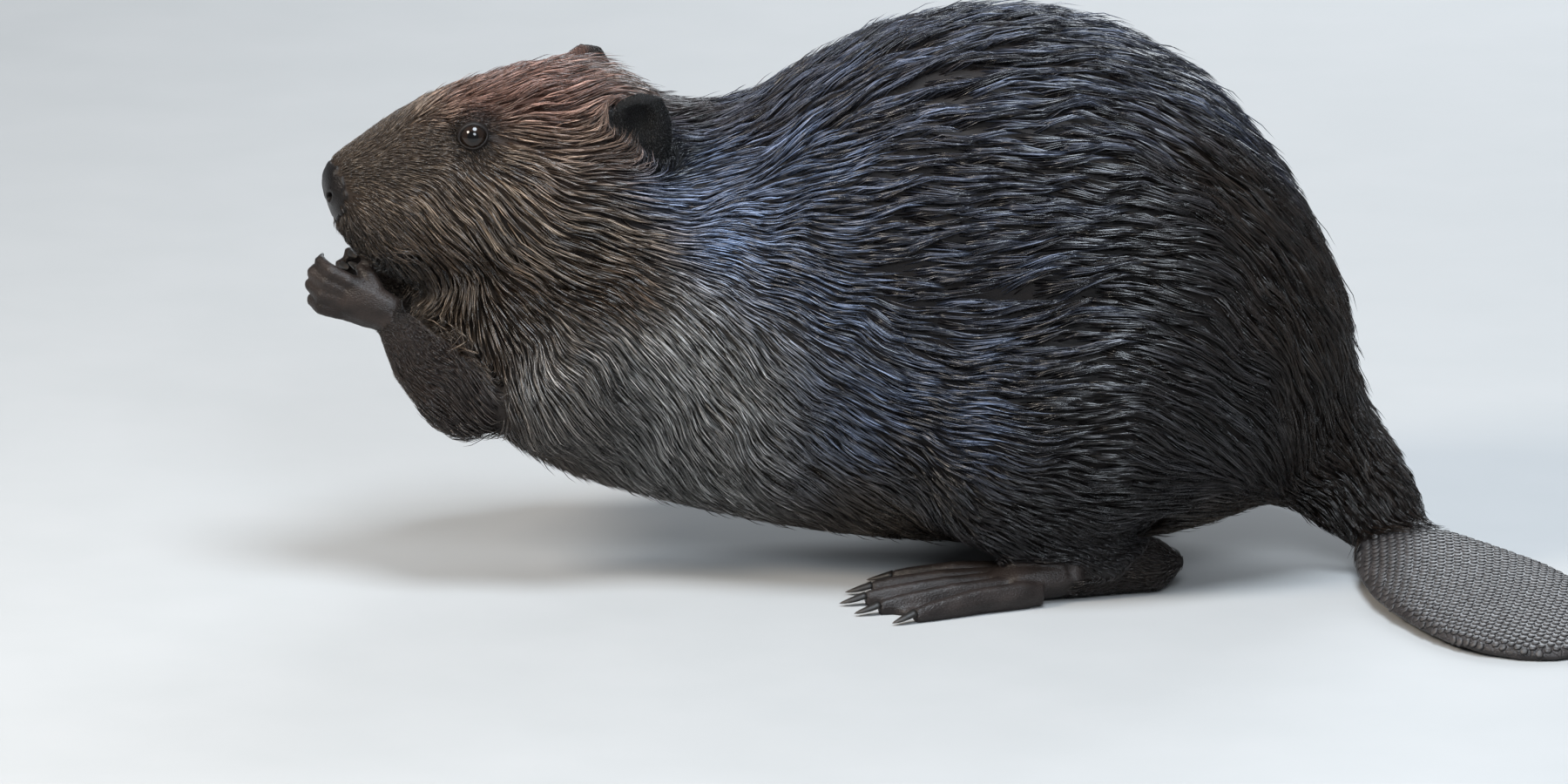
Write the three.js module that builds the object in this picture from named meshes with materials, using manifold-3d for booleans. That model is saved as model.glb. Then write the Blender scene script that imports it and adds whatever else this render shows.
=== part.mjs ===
// A life-size beaver crouching on its hind feet, with its back arched, its head turned a little to
// its left and both forepaws held up to its mouth. Millimetres, +Z up. The head points along -X and
// the animal's left side is -Y. Each solid is drawn out to the tips of the coat, and what rests on
// the floor is cut flat at Z = 0.

import * as THREE from "three";
import { LoftGeometry } from "three/addons/geometries/LoftGeometry.js";
import { mergeVertices } from "three/addons/utils/BufferGeometryUtils.js";
import Module from "manifold-3d";

const wasm = await Module();
wasm.setup();

// Driving dimensions.
const boxShift = [-66.9, 37.9, 0]; // brings the origin to the middle of the whole animal's footprint
const gap = 0.35; // between neighbouring pieces
const headTurn = 12; // degrees, towards the animal's left
const turnPivot = -60; // X of the axis that the head turns about
const turnStarts = -25; // X where the neck begins to turn
const turnEnds = -105; // X where the full turn is reached
const eyeRadius = 7.5;
const eyeAt = [-204.5, 31, 246.5]; // of the head before it turns; Y is to the side
const ears = {
  left: { base: [-110, -39, 227], tip: [-119, -53, 271], faces: [0, -1, 0] },
  right: { base: [-119, 38, 229], tip: [-130, 50, 275], faces: [-0.55, 0.84, 0] }, // pricked forwards
};
const nostrilAt = [-277, 9, 214];
const hindHeel = [176, 78];
const toeOut = 12; // degrees
const footLength = 96; // heel to the roots of the toes
const tailStart = [298, -36];
const tailHeading = -55; // degrees from +X
const tailSweep = 12; // degrees more by the tip
const tailLength = 214;
const tailHalfWidth = 58;
const floorBite = 0.8; // how much of a sole or of the tail the floor cuts away

const left = -1;
const right = 1;
const sides = [
  { name: "left", sign: left },
  { name: "right", sign: right },
];

const vec = (a) => new THREE.Vector3(...a);
const degrees = THREE.MathUtils.degToRad;
const power = (value, n) => Math.sign(value) * Math.abs(value) ** n;

// ---- Solids from three.js geometries ----

// The geometry as a closed solid, with its faces turned outwards.
function solid(geometry) {
  const bare = new THREE.BufferGeometry();
  bare.setAttribute("position", geometry.getAttribute("position"));
  bare.setIndex(geometry.index);
  const merged = mergeVertices(bare, 1e-3);
  const at = merged.getAttribute("position");
  const triVerts = new Uint32Array(merged.index.array);
  const [a, b, c] = [new THREE.Vector3(), new THREE.Vector3(), new THREE.Vector3()];
  let volume = 0;
  for (let i = 0; i < triVerts.length; i += 3) {
    a.fromBufferAttribute(at, triVerts[i]);
    b.fromBufferAttribute(at, triVerts[i + 1]);
    c.fromBufferAttribute(at, triVerts[i + 2]);
    volume += a.dot(b.cross(c));
  }
  if (volume < 0) {
    for (let i = 0; i < triVerts.length; i += 3) {
      [triVerts[i + 1], triVerts[i + 2]] = [triVerts[i + 2], triVerts[i + 1]];
    }
  }
  return new wasm.Manifold(new wasm.Mesh({ numProp: 3, vertProperties: at.array, triVerts }));
}

const join = (solids) => solids.reduce((whole, next) => whole.add(next));
const cutAway = (body, tools) => tools.reduce((rest, tool) => rest.subtract(tool), body);

function ellipsoid(centre, radii, around = 16) {
  const geometry = new THREE.SphereGeometry(1, around, Math.round(around * 0.7));
  geometry.scale(...radii);
  geometry.translate(...centre);
  return solid(geometry);
}

// The half space below the floor, as a slab.
function underFloor() {
  const geometry = new THREE.BoxGeometry(1600, 1200, 100);
  geometry.translate(0, 0, -50);
  return solid(geometry);
}

// A ring of points round `middle`: a rounded box of half sizes wide and high, squarer as n grows.
function ring(middle, side, up, wide, high, n, around) {
  return Array.from({ length: around }, (_, i) => {
    const angle = (2 * Math.PI * i) / around;
    return middle
      .clone()
      .addScaledVector(side, wide * power(Math.cos(angle), 2 / n))
      .addScaledVector(up, high * power(Math.sin(angle), 2 / n));
  });
}

// A limb through stations { at, wide, high }, rounded off at its ends or `blunt`. `up` is the way that
// `high` is measured, which the limb must nowhere run along, and `grow` swells it all round, for the
// pocket that it sits in.
function limb(stations, { up = [0, 0, 1], around = 16, along = 12, grow = 0, n = 2, blunt, place }) {
  const path = new THREE.CatmullRomCurve3(stations.map((s) => vec(s.at)));
  const sizes = new THREE.CatmullRomCurve3(stations.map((s) => vec([s.wide, s.high, 0])));
  const length = path.getLength();
  const sections = Array.from({ length: along + 1 }, (_, i) => {
    const u = (1 - Math.cos((Math.PI * i) / along)) / 2;
    const t = path.getUtoTmapping(u);
    const tangent = path.getTangent(t);
    const size = sizes.getPoint(t);
    const reach = Math.min(size.x, size.y);
    const toEnd = Math.min(u, 1 - u) * length;
    const dome = toEnd < reach ? Math.sqrt(1 - (1 - toEnd / reach) ** 2) : 1;
    const roundOff = Math.max(blunt ? 0.75 : 0.2, dome);
    const side = new THREE.Vector3().crossVectors(vec(up), tangent).normalize();
    const lift = new THREE.Vector3().crossVectors(tangent, side).normalize();
    const middle = path.getPoint(t).addScaledVector(tangent, grow * (2 * u - 1));
    return ring(middle, side, lift, size.x * roundOff + grow, size.y * roundOff + grow, n, around);
  });
  const geometry = new LoftGeometry(sections, { capStart: true, capEnd: true });
  if (place) geometry.applyMatrix4(place);
  return solid(geometry);
}

// Turns what lies forward of the neck about an upright axis, smoothly along the neck.
function turned(point) {
  const share = THREE.MathUtils.smoothstep(turnStarts - point.x, 0, turnStarts - turnEnds);
  const angle = degrees(headTurn) * share;
  const x = point.x - turnPivot;
  const { y } = point;
  point.x = turnPivot + x * Math.cos(angle) - y * Math.sin(angle);
  point.y = x * Math.sin(angle) + y * Math.cos(angle);
  return point;
}

// A loft between an upper and a lower outline in the middle plane. Each station names its top and
// bottom point as [x, z], its half width, how far up it is widest and how square it is.
function betweenOutlines(stations, { around, along, grow = 0 }) {
  const curve = (pick) => new THREE.CatmullRomCurve3(stations.map((s) => vec(pick(s))));
  const tops = curve((s) => [s.top[0], 0, s.top[1]]);
  const bottoms = curve((s) => [s.bottom[0], 0, s.bottom[1]]);
  // hundredths, so that the curve's spacing takes notice of all three
  const sizes = curve((s) => [s.half, 100 * s.widest, 100 * s.square]);
  const sections = Array.from({ length: along + 1 }, (_, i) => {
    const t = i / along;
    const size = sizes.getPoint(t);
    const [top, bottom] = [tops.getPoint(t), bottoms.getPoint(t)];
    const middle = bottom.clone().lerp(top, size.y / 100);
    const n = size.z / 100;
    return Array.from({ length: around }, (_, k) => {
      const angle = (2 * Math.PI * k) / around;
      const rise = power(Math.sin(angle), 2 / n);
      const edge = (rise > 0 ? top : bottom).clone().sub(middle);
      const point = middle.clone().addScaledVector(edge, Math.abs(rise) * (1 + grow / edge.length()));
      point.x += grow * (2 * t - 1);
      point.y = (size.x + grow) * power(Math.cos(angle), 2 / n);
      return turned(point);
    });
  });
  return solid(new LoftGeometry(sections, { capStart: true, capEnd: true }));
}

// ---- Head ----

const headStations = [
  { top: [-281.5, 221], bottom: [-281.5, 216], half: 5, widest: 0.5, square: 2 }, // nose tip
  { top: [-280, 227.5], bottom: [-280.5, 211], half: 13, widest: 0.5, square: 2.3 }, // nose pad
  { top: [-273, 232.5], bottom: [-276, 201], half: 20, widest: 0.45, square: 2.4 },
  { top: [-262, 239.5], bottom: [-271.5, 188], half: 26, widest: 0.4, square: 2.4 }, // upper lip
  { top: [-249, 248.5], bottom: [-262, 176], half: 31, widest: 0.4, square: 2.3 },
  { top: [-232, 259], bottom: [-246, 167.5], half: 35.5, widest: 0.42, square: 2.3 }, // chin
  { top: [-211, 267.5], bottom: [-222, 161], half: 41, widest: 0.42, square: 2.3 }, // eyes
  { top: [-188, 273.5], bottom: [-193, 156], half: 50, widest: 0.38, square: 2.35 }, // cheeks
  { top: [-162, 278.5], bottom: [-161, 153], half: 59, widest: 0.36, square: 2.35 },
  { top: [-136, 277], bottom: [-130, 155], half: 61, widest: 0.38, square: 2.3 }, // ears
  { top: [-110, 267], bottom: [-101, 166], half: 53, widest: 0.45, square: 2.2 }, // back of skull
  { top: [-92, 250], bottom: [-82, 186], half: 39, widest: 0.5, square: 2.1 },
  { top: [-84, 229], bottom: [-78, 205], half: 16, widest: 0.5, square: 2 },
];

const headSolid = (grow = 0) => betweenOutlines(headStations, { around: 20, along: 14, grow });

const nostrilSolid = (sign) => turnedEllipsoid(onSide(nostrilAt, sign), [5, 3, 3.6], 8);

// An ellipsoid placed on the head before it turns.
function turnedEllipsoid(centre, radii, around = 10) {
  const geometry = new THREE.SphereGeometry(1, around, Math.round(around * 0.7));
  geometry.scale(...radii);
  geometry.translate(...centre);
  return solid(turnGeometry(geometry));
}

function turnGeometry(geometry) {
  const at = geometry.getAttribute("position");
  const point = new THREE.Vector3();
  for (let i = 0; i < at.count; i += 1) {
    turned(point.fromBufferAttribute(at, i));
    at.setXYZ(i, point.x, point.y, point.z);
  }
  return geometry;
}

const onSide = ([x, y, z], sign) => [x, y * sign, z];

function eyeSolid(sign, grow = 0) {
  const r = eyeRadius + grow;
  return turnedEllipsoid(onSide(eyeAt, sign), [r, r, r], 10);
}

// A small round ear, hollowed on its outer side.
function earSolid(sign, grow = 0) {
  const { base: root, tip: end, faces } = ears[sign === left ? "left" : "right"];
  const [base, tip] = [vec(root), vec(end)];
  const between = (share) => turned(base.clone().lerp(tip, share)).toArray();
  const blade = limb(
    [
      { at: between(0), wide: 11, high: 6.5 },
      { at: between(0.3), wide: 15.5, high: 5.6 },
      { at: between(0.65), wide: 16.5, high: 4.8 },
      { at: between(1), wide: 12, high: 4 },
    ],
    { up: faces, around: 10, along: 5, grow },
  );
  if (grow) return blade;
  const outwards = vec(faces).multiplyScalar(6.5);
  const hollow = turned(base.clone().lerp(tip, 0.56).add(outwards).add(vec([-3, 0, 0])));
  return blade.subtract(ellipsoid(hollow.toArray(), [10.5, 6, 14.5], 8));
}

// ---- Neck and trunk ----

const torsoStations = [
  { top: [-182, 214], bottom: [-204, 190], half: 12, widest: 0.5, square: 2 }, // inside the head
  { top: [-154, 240], bottom: [-219, 155], half: 36, widest: 0.5, square: 2.1 }, // throat
  { top: [-124, 254], bottom: [-223, 126], half: 48, widest: 0.45, square: 2.2 },
  { top: [-97, 257], bottom: [-210, 97], half: 57, widest: 0.42, square: 2.2 }, // nape
  { top: [-71, 252.5], bottom: [-183, 74], half: 65, widest: 0.42, square: 2.2 },
  { top: [-42, 256.5], bottom: [-154, 54], half: 76, widest: 0.42, square: 2.2 }, // shoulders
  { top: [-9, 279], bottom: [-112, 38], half: 90, widest: 0.42, square: 2.2 },
  { top: [38, 299.5], bottom: [-58, 24], half: 105, widest: 0.42, square: 2.25 }, // ribs
  { top: [90, 307], bottom: [10, 14], half: 113, widest: 0.41, square: 2.3 }, // top of the arch
  { top: [146, 296.5], bottom: [92, 10], half: 115, widest: 0.4, square: 2.3 }, // loin
  { top: [200, 265.5], bottom: [160, 12], half: 110, widest: 0.4, square: 2.3 }, // hips
  { top: [240, 218], bottom: [211, 23], half: 96, widest: 0.42, square: 2.2 },
  { top: [264, 174], bottom: [247, 43], half: 77, widest: 0.45, square: 2.1 }, // rump
  { top: [277, 139], bottom: [268, 70], half: 48, widest: 0.5, square: 2 },
  { top: [281, 115], bottom: [278, 92], half: 16, widest: 0.5, square: 2 },
];

// A slab that starts at the slanting plane between neck and trunk and reaches towards the tail or,
// with direction -1, towards the head.
function besideShoulderCut(direction) {
  const [from, to] = [new THREE.Vector2(-42, 257), new THREE.Vector2(-150, 52)]; // x and z on the cut
  const slope = Math.atan2(to.x - from.x, from.y - to.y);
  const depth = 900;
  const geometry = new THREE.BoxGeometry(depth, 900, 1200);
  geometry.translate(direction * (depth / 2 + gap / 2), 0, 0);
  geometry.rotateY(-slope);
  geometry.translate(from.x, 0, from.y);
  return solid(geometry);
}

// ---- Forelimbs ----

// The left arm comes further out and round, because the mouth is turned to the left.
const arms = {
  left: {
    shoulder: [-92, -54, 134],
    upper: [-138, -72, 108],
    elbow: [-184, -80, 88],
    middle: [-216, -73, 114],
    wrist: [-240, -63, 149],
    knuckles: [-270, -57, 160],
    backOfHand: [-0.3, -1, -0.05],
  },
  right: {
    shoulder: [-92, 52, 134],
    upper: [-138, 64, 108],
    elbow: [-182, 58, 88],
    middle: [-210, 32, 112],
    wrist: [-231, 1, 142],
    knuckles: [-260, -12, 157],
    backOfHand: [-0.35, 1, -0.1],
  },
};

function upperArm(name, grow = 0) {
  const { shoulder, upper, elbow } = arms[name];
  return limb(
    [
      { at: shoulder, wide: 30, high: 46 },
      { at: upper, wide: 27, high: 38 },
      { at: elbow, wide: 21, high: 25 },
    ],
    { around: 10, along: 5, grow },
  );
}

function forearm(name, grow = 0) {
  const { elbow, middle, wrist } = arms[name];
  return limb(
    [
      { at: elbow, wide: 20, high: 22 },
      { at: middle, wide: 17, high: 19 },
      { at: wrist, wide: 10.5, high: 12 },
    ],
    { around: 10, along: 5, grow },
  );
}

// The hand's own frame: X from wrist to knuckles, Y across the palm towards the thumb, Z out of the
// back of the hand.
function handFrame(name) {
  const { wrist, knuckles, backOfHand } = arms[name];
  const forward = vec(knuckles).sub(vec(wrist)).normalize();
  const back = vec(backOfHand);
  back.addScaledVector(forward, -back.dot(forward)).normalize();
  const thumbward = new THREE.Vector3().crossVectors(back, forward);
  if (thumbward.z < 0) thumbward.negate();
  return new THREE.Matrix4().makeBasis(forward, thumbward, back).setPosition(vec(wrist));
}

const fingerPitch = 7; // from one finger's root to the next
const fingers = [1.5, 0.5, -0.5, -1.5].map((step, i) => ({
  root: [22, step * fingerPitch * 0.86, 0.5],
  knuckle: [33, step * fingerPitch, 2.5],
  bend: [[44, 46, 45, 42][i], step * fingerPitch * 1.08, -0.5],
  tip: [[46, 48, 47, 43][i], step * fingerPitch * 1.05, -9],
}));
const fingerUp = [1, 0, 1]; // clear of both the straight and the bent part of a finger
const thumb = { root: [10, 9, -1], knuckle: [16, 14, -3], bend: [22, 15.5, -6], tip: [26, 14.5, -9] };

function fingerSolid(finger, place) {
  const stations = [
    { at: finger.root, wide: 3.9, high: 4.4 },
    { at: finger.knuckle, wide: 3.9, high: 4.3 },
    { at: finger.bend, wide: 3.5, high: 3.9 },
    { at: finger.tip, wide: 2.9, high: 3 },
  ];
  return limb(stations, { up: fingerUp, around: 5, along: 4, blunt: true, place });
}

function forepaw(name, grow = 0) {
  const place = handFrame(name);
  const palm = limb(
    [
      { at: [-8, 0, 0], wide: 9.5, high: 8.5 },
      { at: [8, 0, 0], wide: 12, high: 8.5 },
      { at: [29, 0, 0.5], wide: 14, high: 6.5 },
    ],
    { around: 9, along: 4, grow, place },
  );
  if (grow) return palm;
  return join([palm, ...[...fingers, thumb].map((f) => fingerSolid(f, place))]);
}

// A curved claw from `root` along `heading`, drooping towards `down`, in the frame `place`.
function claw({ root, heading, down, up, length, half, place }) {
  const stations = [0, 0.5, 1].map((share) => ({
    at: vec(root)
      .addScaledVector(vec(heading), length * share)
      .addScaledVector(vec(down), length * 0.16 * share * share)
      .toArray(),
    wide: half * (1 - 0.7 * share),
    high: half * (0.9 - 0.55 * share),
  }));
  return limb(stations, { up, around: 5, along: 3, blunt: true, place });
}

function foreClaw(finger, name) {
  const [bend, tip] = [vec(finger.bend), vec(finger.tip)];
  const heading = tip.clone().sub(bend).normalize();
  const root = tip.addScaledVector(heading, gap).toArray();
  const [down, up, place] = [[-0.8, 0, -0.2], fingerUp, handFrame(name)];
  return claw({ root, heading: heading.toArray(), down, up, length: 9, half: 1.9, place });
}

// ---- Hind limbs ----

function thigh(sign, grow = 0) {
  return limb(
    [
      { at: onSide([210, 50, 104], sign), wide: 40, high: 50 },
      { at: onSide([158, 78, 100], sign), wide: 50, high: 68 },
      { at: onSide([94, 89, 94], sign), wide: 46, high: 62 },
      { at: onSide([38, 88, 82], sign), wide: 34, high: 44 },
    ],
    { around: 12, along: 7, grow },
  );
}

function shin(sign, grow = 0) {
  return limb(
    [
      { at: onSide([52, 92, 66], sign), wide: 31, high: 40 },
      { at: onSide([104, 90, 46], sign), wide: 27, high: 30 },
      { at: onSide([160, 82, 26], sign), wide: 18, high: 20 },
    ],
    { around: 10, along: 5, grow },
  );
}

// The foot's own frame: X from heel to toes, Y outwards, Z up, with the heel at its origin.
function footFrame(sign) {
  const angle = degrees(toeOut);
  const forward = vec([-Math.cos(angle), sign * Math.sin(angle), 0]);
  const outward = vec([Math.sin(angle), sign * Math.cos(angle), 0]);
  return new THREE.Matrix4()
    .makeBasis(forward, outward, vec([0, 0, 1]))
    .setPosition(vec([hindHeel[0], hindHeel[1] * sign, 0]));
}

// From the inner toe to the outer one.
const toeReach = [44, 60, 68, 65, 50];
const toeSetBack = [-10, -2, 0, -4, -12];
const toes = toeReach.map((reach, i) => ({
  root: [footLength - 12 + toeSetBack[i], (i - 2) * 10.5, 6.3],
  knuckle: [footLength + 14 + toeSetBack[i], (i - 2) * 13.5, 7.5],
  bend: [footLength + reach * 0.62, (i - 2) * 17.5, 4.9],
  tip: [footLength + reach, (i - 2) * 21, 3.7],
}));

function toeSolid(toe, place) {
  const stations = [
    { at: toe.root, wide: 6.5, high: 8 },
    { at: toe.knuckle, wide: 6, high: 7.5 },
    { at: toe.bend, wide: 5.4, high: 6.4 },
    { at: toe.tip, wide: 4.6, high: 5 },
  ];
  return limb(stations, { around: 6, along: 4, blunt: true, place });
}

// The web between the toes, hollowed a little between one toe tip and the next.
function web(place) {
  const shape = new THREE.Shape();
  shape.moveTo(footLength - 14, -22);
  toes.forEach((toe, i) => {
    const [x, y] = [toe.tip[0] - 4, toe.tip[1]];
    if (i === 0) {
      shape.lineTo(x, y);
      return;
    }
    const before = toes[i - 1].tip;
    shape.quadraticCurveTo((x + before[0]) / 2 - 15, (y + before[1]) / 2, x, y);
  });
  shape.lineTo(footLength - 14, 22);
  const geometry = new THREE.ExtrudeGeometry(shape, { depth: 4, bevelEnabled: false, curveSegments: 2 });
  geometry.translate(0, 0, -floorBite);
  geometry.applyMatrix4(place);
  return solid(mergeVertices(geometry.deleteAttribute("uv").deleteAttribute("normal"), 1e-3));
}

function hindFoot(sign, floor, grow = 0) {
  const place = footFrame(sign);
  const instep = limb(
    [
      { at: [-12, 0, 15], wide: 13, high: 16 },
      { at: [22, 0, 13.5], wide: 15, high: 14.5 },
      { at: [62, 0, 11], wide: 20, high: 12 },
      { at: [footLength + 4, 0, 8.5], wide: 25, high: 9.5 },
    ],
    { around: 10, along: 4, grow, place },
  );
  if (grow) return instep;
  return join([instep, web(place), ...toes.map((toe) => toeSolid(toe, place))]).subtract(floor);
}

function hindClaw(toe, sign) {
  const heading = vec(toe.tip).sub(vec(toe.bend)).normalize();
  const root = vec(toe.tip).addScaledVector(heading, gap).add(vec([0, 0, 0.7])).toArray();
  const [down, place] = [[0, 0, -1], footFrame(sign)];
  return claw({ root, heading: heading.toArray(), down, length: 14, half: 3.1, place });
}

// ---- Tail ----

function tailRoot(grow = 0) {
  return limb(
    [
      { at: [226, 0, 92], wide: 50, high: 44 },
      { at: [264, -6, 60], wide: 45, high: 36 },
      { at: [288, -24, 33], wide: 36, high: 25 },
      { at: [307, -50, 17], wide: 29, high: 16 },
    ],
    { around: 10, along: 5, grow },
  );
}

// The paddle's half width and half thickness along its length, as shares of its largest.
const paddle = [
  { along: 0, wide: 0.46, thick: 15 },
  { along: 0.12, wide: 0.66, thick: 12.5 },
  { along: 0.32, wide: 0.93, thick: 10 },
  { along: 0.55, wide: 1, thick: 8.2 },
  { along: 0.76, wide: 0.92, thick: 6.8 },
  { along: 0.92, wide: 0.62, thick: 5 },
  { along: 1, wide: 0.2, thick: 3.2 },
];

function tailSolid(floor) {
  const heading = degrees(tailHeading);
  const stations = paddle.map(({ along, wide, thick }) => {
    const bend = heading - degrees(tailSweep) * along;
    return {
      at: [
        tailStart[0] + Math.cos(bend) * tailLength * along,
        tailStart[1] + Math.sin(bend) * tailLength * along,
        thick - floorBite,
      ],
      wide: tailHalfWidth * wide,
      high: thick,
    };
  });
  return limb(stations, { around: 14, along: 10, n: 2.2 }).subtract(floor);
}

// ---- Colours and the whole animal ----

const furBrown = new THREE.MeshStandardMaterial({ color: 0x3a2b20, roughness: 0.55 });
const bareSkin = new THREE.MeshStandardMaterial({ color: 0x2b2523, roughness: 0.5 });
const scaleSkin = new THREE.MeshStandardMaterial({ color: 0x2f2c2b, roughness: 0.6 });
const eyeDark = new THREE.MeshStandardMaterial({ color: 0x120c0a, roughness: 0.05 });
const clawHorn = new THREE.MeshStandardMaterial({ color: 0x3b322b, roughness: 0.4 });

const beaver = new THREE.Group();
beaver.position.set(...boxShift);

function place(name, manifold, material) {
  const { vertProperties, triVerts } = manifold.getMesh();
  const geometry = new THREE.BufferGeometry();
  geometry.setAttribute("position", new THREE.BufferAttribute(vertProperties, 3));
  geometry.setIndex(new THREE.BufferAttribute(triVerts, 1));
  geometry.computeVertexNormals();
  const mesh = new THREE.Mesh(geometry, material);
  mesh.name = name;
  beaver.add(mesh);
}

const floor = underFloor();
const limbPockets = [tailRoot(gap)];

sides.forEach(({ name, sign }) => {
  const digits = [thumb, ...fingers];
  place(`forepaw_${name}`, forepaw(name), bareSkin);
  place(`hind_foot_${name}`, hindFoot(sign, floor), bareSkin);
  place(`forearm_${name}`, forearm(name).subtract(forepaw(name, gap)), furBrown);
  place(`upper_arm_${name}`, upperArm(name).subtract(forearm(name, gap)), furBrown);
  const shinPocket = shin(sign, gap);
  const footPocket = hindFoot(sign, floor, gap);
  place(`shin_${name}`, cutAway(shin(sign), [footPocket, floor]), furBrown);
  place(`thigh_${name}`, cutAway(thigh(sign), [shinPocket, footPocket]), furBrown);
  limbPockets.push(thigh(sign, gap), shinPocket, footPocket);
  limbPockets.push(upperArm(name, gap), forearm(name, gap), forepaw(name, gap));
  digits.forEach((finger, i) => place(`fore_claw_${name}_${i + 1}`, foreClaw(finger, name), clawHorn));
  toes.forEach((toe, i) => place(`hind_claw_${name}_${i + 1}`, hindClaw(toe, sign), clawHorn));
  place(`eye_${name}`, eyeSolid(sign), eyeDark);
  place(`ear_${name}`, earSolid(sign), furBrown);
});

const facePockets = sides.flatMap(({ sign }) => [eyeSolid(sign, gap), earSolid(sign, gap), nostrilSolid(sign)]);
place("head", cutAway(headSolid(), facePockets), furBrown);

const torso = betweenOutlines(torsoStations, { around: 18, along: 14 });
const bodyPockets = [headSolid(gap), ...limbPockets];
place("neck", cutAway(torso.intersect(besideShoulderCut(-1)), bodyPockets), furBrown);
place("trunk", cutAway(torso.intersect(besideShoulderCut(1)), bodyPockets), furBrown);

const paddleSolid = tailSolid(floor);
place("tail", paddleSolid, scaleSkin);
place("tail_root", cutAway(tailRoot(), [paddleSolid, floor]), furBrown);

export default beaver;
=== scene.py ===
import math

import bmesh
import bpy
import numpy as np
from mathutils import Matrix, Vector
from mathutils.bvhtree import BVHTree
from mathutils.kdtree import KDTree


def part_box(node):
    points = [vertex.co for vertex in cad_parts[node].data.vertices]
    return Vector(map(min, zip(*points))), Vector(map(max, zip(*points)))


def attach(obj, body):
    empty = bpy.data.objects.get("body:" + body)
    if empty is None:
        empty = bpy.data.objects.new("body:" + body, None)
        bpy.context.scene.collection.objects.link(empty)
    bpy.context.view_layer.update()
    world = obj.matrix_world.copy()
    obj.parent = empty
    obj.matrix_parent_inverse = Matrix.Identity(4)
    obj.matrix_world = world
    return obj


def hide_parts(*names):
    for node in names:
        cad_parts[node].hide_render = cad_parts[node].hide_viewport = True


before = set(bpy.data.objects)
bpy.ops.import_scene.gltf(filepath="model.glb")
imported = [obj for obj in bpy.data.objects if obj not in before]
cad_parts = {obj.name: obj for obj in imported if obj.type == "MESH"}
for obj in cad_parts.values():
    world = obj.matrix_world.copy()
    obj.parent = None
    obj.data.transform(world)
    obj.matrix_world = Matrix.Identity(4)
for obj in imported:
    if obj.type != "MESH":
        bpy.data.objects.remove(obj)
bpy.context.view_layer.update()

# A crouching beaver with a wet coat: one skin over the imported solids, eyes, lids, claws and tail scales
# on it, and locks of fur grown from the skin. The frame is in metres, +Z up, the head towards -X.

scene = bpy.context.scene
rng = np.random.default_rng(4212)
mm = 0.001

# A place is given on the animal as if it looked straight ahead, in millimetres: back, to its right, up.

trunkLow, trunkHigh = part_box("trunk")
pose = {
    "shift": np.array([trunkHigh.x / mm - 281, (trunkLow.y + trunkHigh.y) / 2 / mm, 0]),
    "headTurn": 12,  # degrees towards its left
    "turnPivot": -60,
    "turnStarts": -25,
    "turnEnds": -105,
}


def smoothstep(low, high, value):
    share = np.clip((np.asarray(value, float) - low) / (high - low), 0, 1)
    return share * share * (3 - 2 * share)


def unit(vectors):
    return vectors / np.maximum(np.linalg.norm(vectors, axis=-1, keepdims=True), 1e-9)


def placed(places, side=1):
    # places on the straight animal, mirrored where side is -1, as points of the frame
    spots = np.atleast_2d(np.asarray(places, float)) * (1, side, 1)
    share = smoothstep(-pose["turnStarts"], -pose["turnEnds"], -spots[:, 0])
    angle = math.radians(pose["headTurn"]) * share
    ahead = spots[:, 0] - pose["turnPivot"]
    x = pose["turnPivot"] + ahead * np.cos(angle) - spots[:, 1] * np.sin(angle)
    y = ahead * np.sin(angle) + spots[:, 1] * np.cos(angle)
    return (np.stack([x, y, spots[:, 2]], 1) + pose["shift"]) * mm


def placedLie(place, lie, side=1):
    # a direction at a place on the straight animal, as a unit vector of the frame
    place = np.asarray(place, float)
    return unit(placed(place + unit(np.asarray(lie, float)), side) - placed(place, side))[0]


def waves(points, length, seed, count=6):
    # smooth noise between about -1 and 1 from plane waves about length millimetres long
    pick = np.random.default_rng(seed)
    total = 0
    for _ in range(count):
        heading = unit(pick.normal(size=3)) * 2 * math.pi / (length * mm * pick.uniform(0.7, 1.5))
        total = total + np.sin(points @ heading + pick.uniform(0, 2 * math.pi))
    return total / math.sqrt(count)


def linked(name, mesh):
    piece = bpy.data.objects.new(name, mesh)
    scene.collection.objects.link(piece)
    return piece


def fromBmesh(name, bm):
    mesh = bpy.data.meshes.new(name)
    bm.to_mesh(mesh)
    bm.free()
    mesh.polygons.foreach_set("use_smooth", [True] * len(mesh.polygons))
    return linked(name, mesh)


def evaluatedMesh(piece):
    graph = bpy.context.evaluated_depsgraph_get()
    mesh = bpy.data.meshes.new_from_object(piece.evaluated_get(graph))
    bpy.data.objects.remove(piece)
    return mesh


def readArray(items, name, width, kind=np.float32):
    # one value of all the items, width numbers to each
    flat = np.empty(len(items) * width, kind)
    items.foreach_get(name, flat)
    return flat.reshape(-1, width)


def pointsOf(mesh):
    return readArray(mesh.vertices, "co", 3).astype(float)


def normalsOf(mesh):
    return readArray(mesh.vertex_normals, "vector", 3).astype(float)


def trianglesOf(mesh):
    mesh.calc_loop_triangles()
    return readArray(mesh.loop_triangles, "vertices", 3, np.int32)


def edgesOf(mesh):
    return readArray(mesh.edges, "vertices", 2, np.int32)


def movePoints(mesh, points):
    mesh.vertices.foreach_set("co", points.ravel())
    mesh.update()


def relaxed(points, edges, rounds, share, back=0.0):
    # moves each point towards the middle of its neighbours, and where back is given, out again,
    # which keeps the size of what is smoothed
    count = len(points)
    ends = np.concatenate([edges[:, 0], edges[:, 1]])
    others = np.concatenate([edges[:, 1], edges[:, 0]])
    degree = np.maximum(np.bincount(ends, minlength=count), 1)
    share = np.broadcast_to(share, count)[:, None]
    for _ in range(rounds):
        for way in (1, -back) if back else (1,):
            means = [np.bincount(ends, points[others, k], count) / degree for k in range(3)]
            points = points + (np.stack(means, 1) - points) * share * way
    return points


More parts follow.
